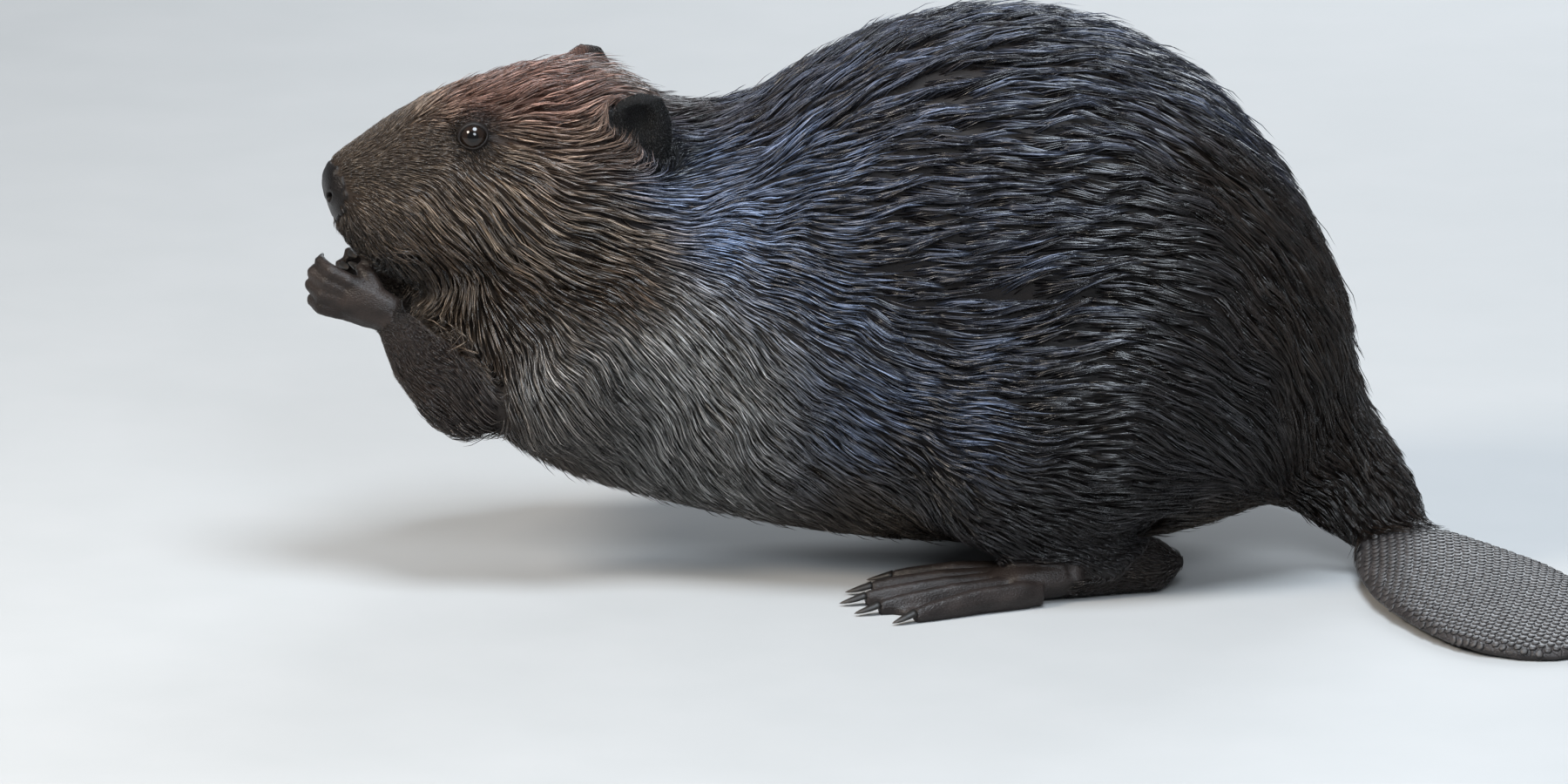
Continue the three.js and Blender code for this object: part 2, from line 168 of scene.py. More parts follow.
def treeOf(mesh):
    return BVHTree.FromPolygons([v.co for v in mesh.vertices], [p.vertices for p in mesh.polygons])


def pointTree(points):
    tree = KDTree(len(points))
    for i, point in enumerate(points):
        tree.insert(point, i)
    tree.balance()
    return tree


def gapTo(points, spot):
    # millimetres from each point to a spot
    return np.linalg.norm(points - spot, axis=1) / mm


def setTint(mesh, colours, fourth=None, name="tint"):
    # a colour at each point, with one more value in its alpha
    layer = mesh.color_attributes.new(name, "FLOAT_COLOR", "POINT")
    full = np.ones((len(mesh.vertices), 4))
    full[:, :3] = colours
    if fourth is not None:
        full[:, 3] = fourth
    layer.data.foreach_set("color", full.ravel())


def setValue(mesh, name, values):
    layer = mesh.attributes.new(name, "FLOAT", "POINT")
    layer.data.foreach_set("value", np.asarray(values, float))


def sideName(sign):
    return "left" if sign < 0 else "right"


def addPiece(piece, finish, slot, *nodes):
    # gives a piece its finish, hides the imported parts it stands for and hangs it under the root body; slot
    # is not used
    piece.data.materials.append(finish)
    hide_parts(*nodes)
    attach(piece, "root")


hairColours = {  # dark hairs, pale hairs, how far the coat leans to the pale, a lock's width to its length
    "muzzle": ((0.036, 0.023, 0.015), (0.210, 0.155, 0.110), 0.30, 0.12),
    "lip": ((0.013, 0.009, 0.006), (0.080, 0.058, 0.042), 0.25, 0.12),
    "face": ((0.040, 0.025, 0.016), (0.500, 0.370, 0.265), 0.38, 0.12),
    "crown": ((0.054, 0.019, 0.010), (0.600, 0.335, 0.265), 0.34, 0.15),
    "temple": ((0.038, 0.018, 0.010), (0.500, 0.335, 0.240), 0.32, 0.14),
    "cheek": ((0.022, 0.013, 0.008), (0.680, 0.520, 0.380), 0.31, 0.14),
    # painted shadow: the jaw's colours are darkened for the shade under the cheek's overhang
    "jaw": ((0.015, 0.008, 0.004), (0.230, 0.130, 0.065), 0.21, 0.15),
    "beard": ((0.028, 0.019, 0.013), (0.420, 0.320, 0.230), 0.36, 0.14),
    # painted shadow: the throat's colours are darkened for the shade under the head and cheeks
    "throat": ((0.014, 0.009, 0.006), (0.170, 0.115, 0.075), 0.24, 0.14),
    "nape": ((0.014, 0.008, 0.006), (0.090, 0.068, 0.062), 0.22, 0.15),
    # painted reflection: the neck's hairs are tinted blue for a cool sky's sheen on the wet coat
    "neck": ((0.024, 0.027, 0.039), (0.300, 0.415, 0.660), 0.55, 0.11),
    "chest": ((0.036, 0.033, 0.030), (0.530, 0.520, 0.500), 0.43, 0.11),
    # painted reflection: the back's and side's pale hairs are tinted blue for a cool sky's sheen on the wet
    # coat
    "back": ((0.014, 0.010, 0.009), (0.165, 0.195, 0.280), 0.30, 0.26),
    "side": ((0.015, 0.014, 0.017), (0.195, 0.250, 0.385), 0.38, 0.15),
    "haunch": ((0.011, 0.008, 0.007), (0.105, 0.102, 0.110), 0.25, 0.22),
    "rump": ((0.014, 0.008, 0.005), (0.052, 0.036, 0.026), 0.20, 0.24),
    "belly": ((0.036, 0.026, 0.019), (0.180, 0.140, 0.105), 0.35, 0.14),
    "arm": ((0.016, 0.010, 0.008), (0.066, 0.046, 0.035), 0.25, 0.14),
    "paw": ((0.014, 0.010, 0.008), (0.045, 0.032, 0.025), 0.25, 0.14),
    "ear": ((0.005, 0.0035, 0.003), (0.024, 0.017, 0.013), 0.18, 0.14),
    "earBack": ((0.060, 0.024, 0.015), (0.420, 0.220, 0.160), 0.40, 0.14),
}

coatLies = {  # on both sides: the place, where the tips point, the length in millimetres, the colour
    "noseTop": ((-268, 8, 234), (1, 0.1, 0.6), 4, "muzzle"),
    "bridge": ((-250, 8, 247), (1, 0, 0.5), 8, "muzzle"),
    "forehead": ((-224, 8, 262), (1, 0, 0.35), 13, "face"),
    "crownFront": ((-206, 14, 269), (1, 0, 0.15), 18, "crown"),
    "crown": ((-178, 12, 275), (1, 0, 0.05), 23, "crown"),
    "crownSide": ((-168, 34, 267), (1, 0.05, 0.0), 25, "crown"),
    "crownBack": ((-130, 14, 276), (1, 0, -0.1), 26, "temple"),
    "brow": ((-207, 27, 260), (1, 0.15, 0.12), 10, "crown"),
    "muzzleHigh": ((-255, 18, 229), (1, 0.3, 0.1), 6, "muzzle"),
    "muzzleSide": ((-257, 26, 206), (1, 0.3, -0.65), 10, "face"),
    "upperLip": ((-266, 18, 195), (0.6, 0.3, -0.8), 6, "lip"),
    "beforeEye": ((-230, 31, 236), (1, 0.2, -0.2), 8, "muzzle"),
    "underEyeFront": ((-228, 35, 217), (1, 0.2, -0.95), 19, "face"),
    "underEye": ((-204, 41, 222), (1, 0.1, -1.15), 21, "face"),
    "cheekFront": ((-212, 41, 203), (1, 0.1, -1.1), 30, "cheek"),
    "cheek": ((-184, 50, 200), (1, 0, -0.9), 34, "cheek"),
    "cheekBack": ((-152, 58, 196), (1, 0, -0.42), 33, "cheek"),
    "cheekRear": ((-126, 59, 196), (1, 0, -0.2), 31, "cheek"),
    "jawFront": ((-230, 31, 186), (1, 0, -0.9), 22, "jaw"),
    "jaw": ((-196, 46, 173), (1, 0, -0.6), 30, "jaw"),
    "jawRear": ((-152, 54, 170), (1, 0, -0.05), 30, "jaw"),
    "jawUnder": ((-182, 45, 160), (0.9, 0, -0.7), 22, "throat"),
    "neckUnder": ((-144, 54, 166), (0.9, 0, -0.7), 21, "jaw"),
    "chin": ((-242, 10, 167), (0.5, 0.1, -1), 14, "lip"),
    "underJaw": ((-212, 14, 160), (0.35, 0.1, -1), 24, "beard"),
    "behindEye": ((-188, 39, 240), (1, 0.1, -0.6), 18, "cheek"),
    "temple": ((-170, 44, 250), (1, 0.05, -0.12), 26, "temple"),
    "beforeEar": ((-140, 48, 240), (1, 0.05, 0.15), 26, "temple"),
    "earFront": ((-149, 27, 271), (1, 0.1, 0.45), 30, "crown"),
    "underEar": ((-116, 54, 214), (1, 0.05, -0.25), 24, "neck"),
    "nape": ((-100, 12, 257), (1, 0, -0.05), 25, "nape"),
    "napeSide": ((-92, 48, 232), (1, 0.05, -0.1), 25, "side"),
    "neck": ((-80, 62, 190), (1, 0, -0.2), 21, "neck"),
    "neckLow": ((-92, 60, 150), (1, 0, -0.6), 20, "chest"),
    "throat": ((-196, 8, 144), (0.3, 0.15, -1), 25, "throat"),
    "chestFront": ((-178, 12, 110), (0.4, 0.1, -1), 22, "throat"),
    "chestAhead": ((-160, 46, 130), (0.5, 0, -1), 18, "chest"),
    "chestHigh": ((-126, 57, 140), (0.8, 0, -0.8), 20, "chest"),
    "chestSide": ((-110, 58, 112), (0.6, 0, -1), 20, "chest"),
    "chestLow": ((-90, 50, 76), (0.7, 0, -1), 21, "chest"),
    "shoulder": ((-60, 76, 125), (1, 0, -0.8), 20, "chest"),
    "withers": ((-50, 12, 257), (1, 0, 0.25), 29, "back"),
    "rise": ((-5, 40, 277), (1, 0, 0.4), 31, "back"),
    "ribsFront": ((-18, 88, 170), (1, 0, -0.25), 24, "side"),
    "ribsHigh": ((-28, 70, 228), (1, 0, 0.2), 27, "side"),
    "ribs": ((25, 104, 200), (1, 0, 0.08), 32, "back"),
    "ribsLow": ((0, 98, 110), (1, 0, -0.5), 24, "side"),
    "arch": ((90, 14, 307), (1, 0, 0), 35, "back"),
    "archSide": ((80, 84, 262), (1, 0, 0.02), 37, "back"),
    "flank": ((90, 112, 180), (1, 0, 0.25), 35, "back"),
    "flankLow": ((62, 108, 92), (1, 0, -0.1), 27, "side"),
    "haunch": ((160, 112, 190), (1, 0, -0.05), 35, "haunch"),
    "haunchLow": ((125, 106, 90), (1, 0, 0.08), 31, "haunch"),
    "haunchRear": ((195, 100, 112), (1, 0, -0.6), 31, "haunch"),
    "loin": ((190, 14, 276), (1, 0, -0.7), 35, "back"),
    "rumpHigh": ((212, 68, 240), (1, 0, -0.95), 33, "rump"),
    "rump": ((243, 66, 160), (0.5, 0, -1), 31, "rump"),
    "rumpMid": ((272, 6, 150), (0.25, 0, -1), 31, "rump"),
    "rumpLow": ((252, 52, 88), (0.5, 0, -1), 26, "rump"),
    "belly": ((-20, 10, 40), (1, 0, -0.3), 22, "belly"),
    "bellySide": ((20, 80, 36), (1, -0.3, -0.5), 24, "belly"),
    "bellyRear": ((180, 20, 14), (1, 0, 0), 20, "belly"),
    "thighFront": ((40, 108, 70), (1, 0, -0.3), 25, "haunch"),
    "thigh": ((100, 112, 62), (1, 0, -0.2), 25, "haunch"),
}

limbLies = {  # on one node: from the root of the limb to its end, the length at each, the colour
    "forearm_left": ((-184, -80, 88), (-240, -63, 149), 20, 5, "arm"),
    "forearm_right": ((-182, 58, 88), (-231, 1, 142), 20, 5, "arm"),
    "forepaw_left": ((-237, -63, 148), (-270, -57, 160), 3.5, 2, "paw"),
    "forepaw_right": ((-228, 1, 141), (-260, -12, 157), 3.5, 2, "paw"),
    "hind_foot_left": ((176, -78, 14), (90, -96, 10), 9, 4, "paw"),
    "hind_foot_right": ((176, 78, 14), (90, 96, 10), 9, 4, "paw"),
    "ear_left": ((-110, -39, 227), (-119, -53, 271), 5, 3, "ear"),
    "ear_right": ((-119, 38, 229), (-130, 50, 275), 5, 3, "ear"),
    "shin_left": ((52, -92, 66), (160, -82, 26), 20, 9, "haunch"),
    "shin_right": ((52, 92, 66), (160, 82, 26), 20, 9, "haunch"),
    "tail_root": ((226, 0, 92), (307, -50, 17), 26, 13, "rump"),
}

standsOut = {  # of the tips, to the length
    "earFront": 0.32,
    "underJaw": 0.75,
    "throat": 0.35,
    "chin": 0.45,
    "chestFront": 0.2,
}

coatDo = {
    "depth": 0.19,  # of the coat over the skin, to its length
    "deepest": 6.6,  # millimetres
    "spread": 16,  # millimetres within which a neighbouring lie shows
}


def lieRows():
    rows = []
    for name, (place, lie, length, colour) in coatLies.items():
        for side in (-1, 1):
            stand = standsOut.get(name, 0)
            rows.append((placed(place, side)[0], placedLie(place, lie, side), length, colour, stand))
    return rows


def coatAt(points, normals, nearNode):
    # for points of the skin: the lie along it, the length in millimetres and the hair colours
    rows = lieRows()
    spots = np.array([row[0] for row in rows])
    facts = np.array([[*row[1], row[2], *hairColours[row[3]][0], *hairColours[row[3]][1],
                       *hairColours[row[3]][2:], row[4]] for row in rows])
    wander = np.stack([waves(points, 45, seed) for seed in (11, 12, 13)], 1) * 5 * mm
    values = np.empty((len(points), facts.shape[1]))
    for start in range(0, len(points), 20000):
        part = slice(start, start + 20000)
        gaps = np.linalg.norm(points[part, None] + wander[part, None] - spots[None], axis=2) / mm
        weights = 1 / (gaps ** 2 + coatDo["spread"] ** 2) ** 2.2
        values[part] = weights @ facts / weights.sum(1, keepdims=True)
    for node, (root, end, first, last, colour) in limbLies.items():
        near = 1 - smoothstep(1, 12 if node != "tail_root" else 20, nearNode[node])
        rootAt, endAt = placed(root)[0], placed(end)[0]
        along = np.clip((points - rootAt) @ (endAt - rootAt) / np.sum((endAt - rootAt) ** 2), 0, 1)
        own = np.empty_like(values)
        own[:, :3] = unit(endAt - rootAt)
        own[:, 3] = first + (last - first) * along
        own[:, 4:] = np.hstack([*hairColours[colour], 0])
        if colour == "ear":  # brown on the side towards the crown
            inner = smoothstep(-0.1, 0.5, -normals[:, 1] * np.sign(root[1]))
            behind = (points[:, 0] - (rootAt + endAt)[0] / 2) / mm
            inner = (inner * (1 - 0.92 * smoothstep(-6, 3, behind)))[:, None]
            own[:, 4:12] += (np.hstack([*hairColours["earBack"]]) - own[:, 4:12]) * inner
        values += (own - values) * near[:, None]
    for sign in (-1, 1):  # short round the ears, with painted shade darkening their outward side for the shadowed notch about the ear; shorter still round the eyes, darkened there partly for the dark short hair and partly as painted shade of the deep-set eye
        ear = nearNode[f"ear_{sideName(sign)}"]
        outer = smoothstep(-0.1, 0.4, normals[:, 1] * sign)
        values[:, 3] *= 0.5 + 0.5 * smoothstep(1, 22, ear)
        # painted shade of the notch about the ear, on the side turned outwards
        values[:, 4:10] *= 1 - (0.7 * outer * (1 - smoothstep(6, 14, ear)))[:, None]
        reach = gapTo(points, eyeMiddle(sign)[0])
        values[:, 3] *= 1 - 0.72 * (1 - smoothstep(10, 20, reach))
        values[:, 12] += 0.16 * (1 - smoothstep(12, 22, reach))
        # darker round the eye: partly the dark short hair there, partly painted shade of the deep-set eye
        # under its brow
        values[:, 4:10] *= 1 - 0.72 * (1 - smoothstep(11, 17, reach))[:, None]
    lie = values[:, :3] - normals * np.sum(values[:, :3] * normals, 1, keepdims=True)
    return {"lie": unit(lie), "length": values[:, 3], "dark": values[:, 4:7], "pale": values[:, 7:10],
            "lean": values[:, 10], "clump": values[:, 11], "stand": values[:, 12]}


bodyNodes = ["head", "neck", "trunk", "tail_root"]
limbParts = ("upper_arm", "forearm", "thigh", "shin")
limbNodes = [f"{part}_{sideName(sign)}" for sign in (-1, 1) for part in limbParts]
fineNodes = [f"{part}_{sideName(sign)}" for sign in (-1, 1) for part in ("ear", "forepaw", "hind_foot")]
fineNodes.append("tail")

skinDo = {
    "overlap": 0.6 * mm,  # closes the gaps between the solids
    "coarseVoxel": 5 * mm,
    "coarseRounds": 34,
    "trunkShare": 0.5,
    "headShare": 0.12,
    "forearmShare": 0.06,
    "fineVoxel": 1.3 * mm,
    "blendOver": 9,  # millimetres over which hands, feet, ears and tail pass into the body
    "faces": 185000,
}

eyeDo = {
    "place": (-204.5, 31, 246.5),  # of the solid, on the straight head's right side
    "radius": 8.6,  # of the eyeball, millimetres
    "sunk": 1.9,  # its middle, inwards of the solid's
    "gaze": (-0.22, 0.95, 0.16),  # back, out, up
    "halfLong": 7.5,  # of the opening, along the head
    "halfHighAbove": 6.2,
    "halfHighBelow": 6.1,
    "reach": 22,  # millimetres from its middle within which it shapes the skin
    "mound": 0.35,  # millimetres that the skin round it stands over the ball
    "moundAbove": 0.3,  # and how much more above, and less below
    "funnel": 0.13,  # millimetres that the skin rises with each degree further out
    "under": 1.1,  # millimetres that the skin lies under the ball's front
    "pocket": 14,  # millimetres within which walls that face inwards are sunk too
}

faceDo = {  # places on the straight head, its right side
    "padMiddle": (-277, 0, 213),
    "padAxes": (17, 21.5, 16),  # millimetres back, out and up
    "nostril": [(-280, 7.5, 210.5), (-277.5, 10.5, 213.5), (-272.5, 14, 217), (-267.5, 16, 217.5)],
    "nostrilPlace": (-272, 12, 214),
    "nostrilInwards": (0.8, -0.5, 0.1),
    "philtrum": [(-282.5, 0, 209), (-279, 0, 200), (-274.5, 0, 191)],
    "mouth": [(-272.5, 0, 187), (-268, 10, 184.5), (-259, 19, 182.5), (-247, 26.5, 181.5),
              (-236, 31.5, 185)],
    "middle": (-270, 0, 205),  # of the nose and lips
    "mouthLine": (1.5, 2.6),  # its half width and depth, millimetres
    "lips": (3.6, 2.0, 0.5, 0.4),  # off the line, half width, height, and how much more the upper one has
    "nostrilRim": (3.2, 1.2, 0.55),  # off the nostril's line, half width, height
    "nostrilDepth": 3.6,
    "philtrumLine": (1.3, 1.3),
    "swellings": [  # the place, and the radius and height in millimetres
        ((-260, 20, 199), 15, 1.9),  # whisker pad
        ((-204, 31, 260), 17, 1.1),  # brow
        ((-232, 30, 226), 13, -1.0),  # hollow before the eye
        ((-186, 50, 190), 30, 2.5),  # cheek
        ((-270, 13.5, 222), 6, 0.9),  # wing over the nostril
    ],
}

furredTops = {  # hair reaches this far onto the hands and feet: from, to
    "forepaw_left": ((-237, -63, 148), (-252, -60, 153)),
    "forepaw_right": ((-228, 1, 141), (-243, -5, 149)),
    "hind_foot_left": ((176, -78, 14), (124, -89, 14)),
    "hind_foot_right": ((176, 78, 14), (124, 89, 14)),
}


def swollenCopy(name, nodes, swell):
    bm = bmesh.new()
    for node in nodes:
        bm.from_mesh(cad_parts[node].data)
    bmesh.ops.remove_doubles(bm, verts=bm.verts, dist=1e-6)
    bmesh.ops.recalc_face_normals(bm, faces=bm.faces)
    bm.normal_update()
    for vert in bm.verts:
        vert.co += vert.normal * swell
    return fromBmesh(name, bm)


def voxelMesh(name, nodes, voxel):
    piece = swollenCopy(name, nodes, skinDo["overlap"])
    remesh = piece.modifiers.new("remesh", "REMESH")
    remesh.mode = "VOXEL"
    remesh.voxel_size = voxel
    return evaluatedMesh(piece)


def largestShell(mesh):
    # drops what the gaps between the solids leave inside
    bm = bmesh.new()
    bm.from_mesh(mesh)
    bm.verts.ensure_lookup_table()
    seen = np.zeros(len(bm.verts), bool)
    shells = []
    for start in bm.verts:
        if seen[start.index]:
            continue
        seen[start.index] = True
        shell, front = [], [start]
        while front:
            vert = front.pop()
            shell.append(vert)
            for edge in vert.link_edges:
                other = edge.other_vert(vert)
                if not seen[other.index]:
                    seen[other.index] = True
                    front.append(other)
        shells.append(shell)
    shells.sort(key=len)
    for shell in shells[:-1]:
        bmesh.ops.delete(bm, geom=shell, context="VERTS")
    bm.to_mesh(mesh)
    bm.free()
    return mesh


def distanceTo(node, points, reach):
    # distance in millimetres from each point to a node, up to reach
    far = np.full(len(points), float(reach))
    low, high = (np.array(corner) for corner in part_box(node))
    near = np.all((points > low - reach * mm) & (points < high + reach * mm), 1)
    tree = treeOf(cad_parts[node].data)
    for i in np.flatnonzero(near):
        hit = tree.find_nearest(points[i], reach * mm)
        if hit[0] is not None:
            far[i] = hit[3] / mm
    return far


def smoothBody():
    # the body's flowing shape, without hands, feet, ears and tail
    mesh = largestShell(voxelMesh("bodyShape", bodyNodes + limbNodes, skinDo["coarseVoxel"]))
    points, edges = pointsOf(mesh), edgesOf(mesh)
    share = np.full(len(points), skinDo["trunkShare"])
    kept = {"head": (skinDo["headShare"], 22), "forearm_left": (skinDo["forearmShare"], 14),
            "forearm_right": (skinDo["forearmShare"], 14)}
    for node, (own, reach) in kept.items():
        near = 1 - smoothstep(2, reach, distanceTo(node, points, reach))
        share += (own - share) * near
    movePoints(mesh, relaxed(points, edges, skinDo["coarseRounds"], share))
    return mesh


def fineShape():
    # the whole shape, close set with points, its body drawn onto the smooth one
    tree = treeOf(smoothBody())
    mesh = largestShell(voxelMesh("skinShape", bodyNodes + limbNodes + fineNodes, skinDo["fineVoxel"]))
    points, edges = pointsOf(mesh), edgesOf(mesh)
    near = np.min([distanceTo(node, points, 14) for node in fineNodes], 0)
    snap = smoothstep(0.8, skinDo["blendOver"], near)
    for i in np.flatnonzero(snap > 0):
        points[i] += (np.array(tree.find_nearest(points[i])[0]) - points[i]) * snap[i]
    points = relaxed(points, edges, 14, 0.5 * smoothstep(0.5, 6, near))
    points = relaxed(points, edges, 30, 0.6 * (1 - smoothstep(2, 7, near)), back=1.02)
    points = relaxed(points, edges, 2, 0.5)
    ears = np.minimum(*[distanceTo(f"ear_{sideName(sign)}", points, 8) for sign in (-1, 1)])
    movePoints(mesh, relaxed(points, edges, 12, 0.6 * (1 - smoothstep(1, 5, ears))))
    return mesh


def alongPath(points, path):
    # distance in millimetres from each point to a bent line, and how far along it the nearest spot is
    best, share = np.full(len(points), 1e9), np.zeros(len(points))
    for i, (a, b) in enumerate(zip(path, path[1:])):
        along = np.clip((points - a) @ (b - a) / np.sum((b - a) ** 2), 0, 1)
        gap = np.linalg.norm(points - a - along[:, None] * (b - a), axis=1) / mm
        closer = gap < best
        best[closer], share[closer] = gap[closer], (i + along[closer]) / (len(path) - 1)
    return best, share


def eyeMiddle(sign):
    low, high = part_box(f"eye_{sideName(sign)}")
    solid = np.array((low + high) / 2)
    gaze = placedLie(eyeDo["place"], eyeDo["gaze"], sign)
    return solid - gaze * eyeDo["sunk"] * mm, gaze


def eyeAxes(sign):
    # towards the nose, up and out, for the eye on one side
    gaze = eyeMiddle(sign)[1]
    ahead = placedLie(eyeDo["place"], (-1, 0, -0.16), sign)
    ahead = unit(ahead - gaze * (ahead @ gaze))
    up = np.cross(gaze, ahead) * sign
    return ahead, up * np.sign(up[2]), gaze


def openingAngle(turn):
    # how far the lids' edge stands from the gaze, in radians, at a turn from ahead towards up
    high = np.where(np.sin(turn) > 0, eyeDo["halfHighAbove"], eyeDo["halfHighBelow"])
    long = eyeDo["halfLong"] * np.cos(turn)
    tall = high * np.sin(turn) * np.abs(np.sin(turn)) ** 0.4
    return np.arcsin(np.minimum(np.hypot(long, tall) / eyeDo["radius"], 0.95))


def pastLids(points, sign):
    # how far points round an eye stand past the opening's edge, in degrees; far from it, a right angle
    middle, gaze = eyeMiddle(sign)
    ahead, up, _ = eyeAxes(sign)
    heading = unit(points - middle)
    off = np.arccos(np.clip(heading @ gaze, -1, 1))
    turn = np.arctan2(heading @ up, heading @ ahead)
    near = gapTo(points, middle) < eyeDo["reach"]
    return np.where(near, np.degrees(off - openingAngle(turn)), 90)


def shapeEyes(points, normals):
    for sign in (-1, 1):
        middle = eyeMiddle(sign)[0]
        ahead, up, _ = eyeAxes(sign)
        near = np.flatnonzero(gapTo(points, middle) < eyeDo["reach"])
        out = points[near] - middle
        reach = np.linalg.norm(out, axis=1) / mm
        heading = out / reach[:, None] / mm
        turn = np.arctan2(heading @ up, heading @ ahead)
        beyond = pastLids(points[near], sign)
        facing = np.sum(heading * normals[near], 1)
        pocket = smoothstep(0.3, -0.1, facing) * (reach < eyeDo["pocket"])
        sunken = np.maximum(1 - smoothstep(9, 17, beyond), pocket)
        mound = smoothstep(10, 18, beyond) * (1 - smoothstep(24, 56, beyond))
        brim = eyeDo["radius"] + eyeDo["mound"]
        reach += (np.maximum(reach, brim + eyeDo["moundAbove"] * np.sin(turn)) - reach) * mound
        funnel = brim + eyeDo["funnel"] * np.maximum(beyond - 17, 0)
        reach += np.minimum(funnel - reach, 0) * (1 - smoothstep(30, 55, beyond))
        reach += (np.minimum(reach, eyeDo["radius"] - eyeDo["under"]) - reach) * sunken
        points[near] = middle + heading * reach[:, None] * mm
    return points


def push(points, normals, centre, radius, height):
    # a soft swelling, or a dent where height is below nought
    share = 1 - smoothstep(0, radius, gapTo(points, centre))
    return points + normals * (height * mm * share)[:, None]


def hump(gap, middle, halfWidth):
    # 1 at the middle, falling off like a bell
    return np.exp(-((gap - middle) / halfWidth) ** 2)


def shapeFace(mesh):
    points, normals = pointsOf(mesh), normalsOf(mesh)
    for sign in (-1, 1):
        for place, radius, height in faceDo["swellings"]:
            points = push(points, normals, placed(place, sign)[0], radius, height)
    movePoints(mesh, points)
    normals = normalsOf(mesh)
    lip = smoothstep(-0.4, 0.4, normals[:, 2])  # the upper lip overhangs the lower one
    lineWidth, lineDepth = faceDo["mouthLine"]
    lipGap, lipWidth, lipHeight, lipOverhang = faceDo["lips"]
    rimGap, rimWidth, rimHeight = faceDo["nostrilRim"]
    for sign in (-1, 1):
        gap, share = alongPath(points, placed(faceDo["mouth"], sign))
        groove = hump(gap, 0, lineWidth) * (1 - smoothstep(0.85, 1, share))
        rolls = hump(gap, lipGap, lipWidth) * (1 - smoothstep(0.8, 1, share))
        raised = rolls * (lipHeight + lipOverhang * lip) - groove * lineDepth
        points = points + normals * raised[:, None] * mm
        gap, share = alongPath(points, placed(faceDo["nostril"], sign))
        hole = 1 - smoothstep(0.6, 2.5, gap + 0.9 * share)
        rim = hump(gap, rimGap, rimWidth)
        inwards = placedLie(faceDo["nostrilPlace"], faceDo["nostrilInwards"], sign)
        hollow = inwards * (hole * faceDo["nostrilDepth"])[:, None]
        points = points + (normals * (rim * rimHeight)[:, None] + hollow) * mm
    gap, share = alongPath(points, placed(faceDo["philtrum"]))
    lineWidth, lineDepth = faceDo["philtrumLine"]
    groove = hump(gap, 0, lineWidth) * lineDepth * smoothstep(0, 0.2, share)
    points = points - normals * groove[:, None] * mm
    nose = 1 - smoothstep(17, 30, gapTo(points, placed(faceDo["middle"])[0]))
    points = relaxed(points, edgesOf(mesh), 2, 0.45 * nose)
    points = shapeEyes(points, normals)
    eyes = np.min([gapTo(points, eyeMiddle(sign)[0]) for sign in (-1, 1)], 0)
    points = relaxed(points, edgesOf(mesh), 3, 0.5 * (1 - smoothstep(15, 21, eyes)))
    movePoints(mesh, shapeEyes(points, normals))


def padShare(points):
    # 1 on the bare nose pad, falling to 0 past its ragged edge
    middle = placed(faceDo["padMiddle"])[0]
    ahead = placedLie((-260, 0, 210), (1, 0, 0))
    out = placedLie((-260, 0, 210), (0, 1, 0))
    gaps = (points - middle) / mm
    along, across, high = faceDo["padAxes"]
    back, side, up = gaps @ ahead / along, gaps @ out / across, gaps[:, 2] / high
    far = np.sqrt(back ** 2 + side ** 2 + up ** 2) + 0.05 * waves(points, 5, 31)
    strip = alongPath(points, placed(faceDo["philtrum"]))[0]
    return np.maximum(1 - smoothstep(0.93, 1.04, far), 1 - smoothstep(2.2, 3.4, strip))


def bareShare(points, nearNode):
    # 1 where no coat grows: nose, lips' edge, eyes, hands, feet and tail
    bare = padShare(points)
    for sign in (-1, 1):
        reach = gapTo(points, eyeMiddle(sign)[0])
        bare = np.maximum(bare, (1 - smoothstep(6, 10, pastLids(points, sign))) * (reach < 10.5))
        bare = np.maximum(bare, 1 - smoothstep(0.7, 1.8, alongPath(points, placed(faceDo["mouth"], sign))[0]))
    edges = {"tail": 1.5, "hind_foot_left": 1, "hind_foot_right": 1, "forepaw_left": 0.5,
             "forepaw_right": 0.5}
    for node, edge in edges.items():
        there = 1 - smoothstep(edge, edge + 2.5, nearNode[node])
        if node in furredTops:
            root, end = (placed(place)[0] for place in furredTops[node])
            along = (points - root) @ (end - root) / np.sum((end - root) ** 2) + 0.07 * waves(points, 9, 32)
            there = there * smoothstep(0.8, 1.1, along)
        bare = np.maximum(bare, there)
    return bare


def finerFace(mesh):
    # closer points where the nose, mouth and eyes are cut
    bm = bmesh.new()
    bm.from_mesh(mesh)
    spots = [(placed(faceDo["middle"])[0], 27)]  # and the reach in millimetres
    for sign in (-1, 1):
        spots += [(eyeMiddle(sign)[0], 15), (placed((-246, 27, 183), sign)[0], 17)]
    bm.faces.ensure_lookup_table()
    middles = np.array([face.calc_center_median() for face in bm.faces])
    chosen = np.zeros(len(middles), bool)
    for spot, reach in spots:
        chosen |= gapTo(middles, spot) < reach
    edges = {edge for i in np.flatnonzero(chosen) for edge in bm.faces[i].edges}
    bmesh.ops.subdivide_edges(bm, edges=list(edges), cuts=1, use_grid_fill=True, smooth=0)
    bmesh.ops.triangulate(bm, faces=[face for face in bm.faces if len(face.verts) > 4])
    bm.to_mesh(mesh)
    bm.free()


def thinned(mesh, faces):
    # fewer triangles where the shape is plain, none taken from the face
    piece = linked("thinned", mesh)
    points = pointsOf(mesh)
    keep = piece.vertex_groups.new(name="plain")
    head = 1 - smoothstep(26, 60, gapTo(points, placed((-262, 0, 210))[0]))
    for sign in (-1, 1):
        head = np.maximum(head, 1 - smoothstep(14, 26, gapTo(points, eyeMiddle(sign)[0])))
    weights = np.round(1 - 0.8 * head, 1)
    for weight in np.unique(weights):
        keep.add(np.flatnonzero(weights == weight).tolist(), float(weight), "REPLACE")
    triangles = len(trianglesOf(mesh))
    decimate = piece.modifiers.new("thin", "DECIMATE")
    decimate.ratio = min(1, faces / triangles)
    decimate.vertex_group = "plain"
    decimate.vertex_group_factor = 1
    decimate.use_collapse_triangulate = True
    return evaluatedMesh(piece)


print("skin: remeshing the solids")
skinMesh = fineShape()
print("skin:", len(skinMesh.vertices), "points; shaping the face")
finerFace(skinMesh)
shapeFace(skinMesh)


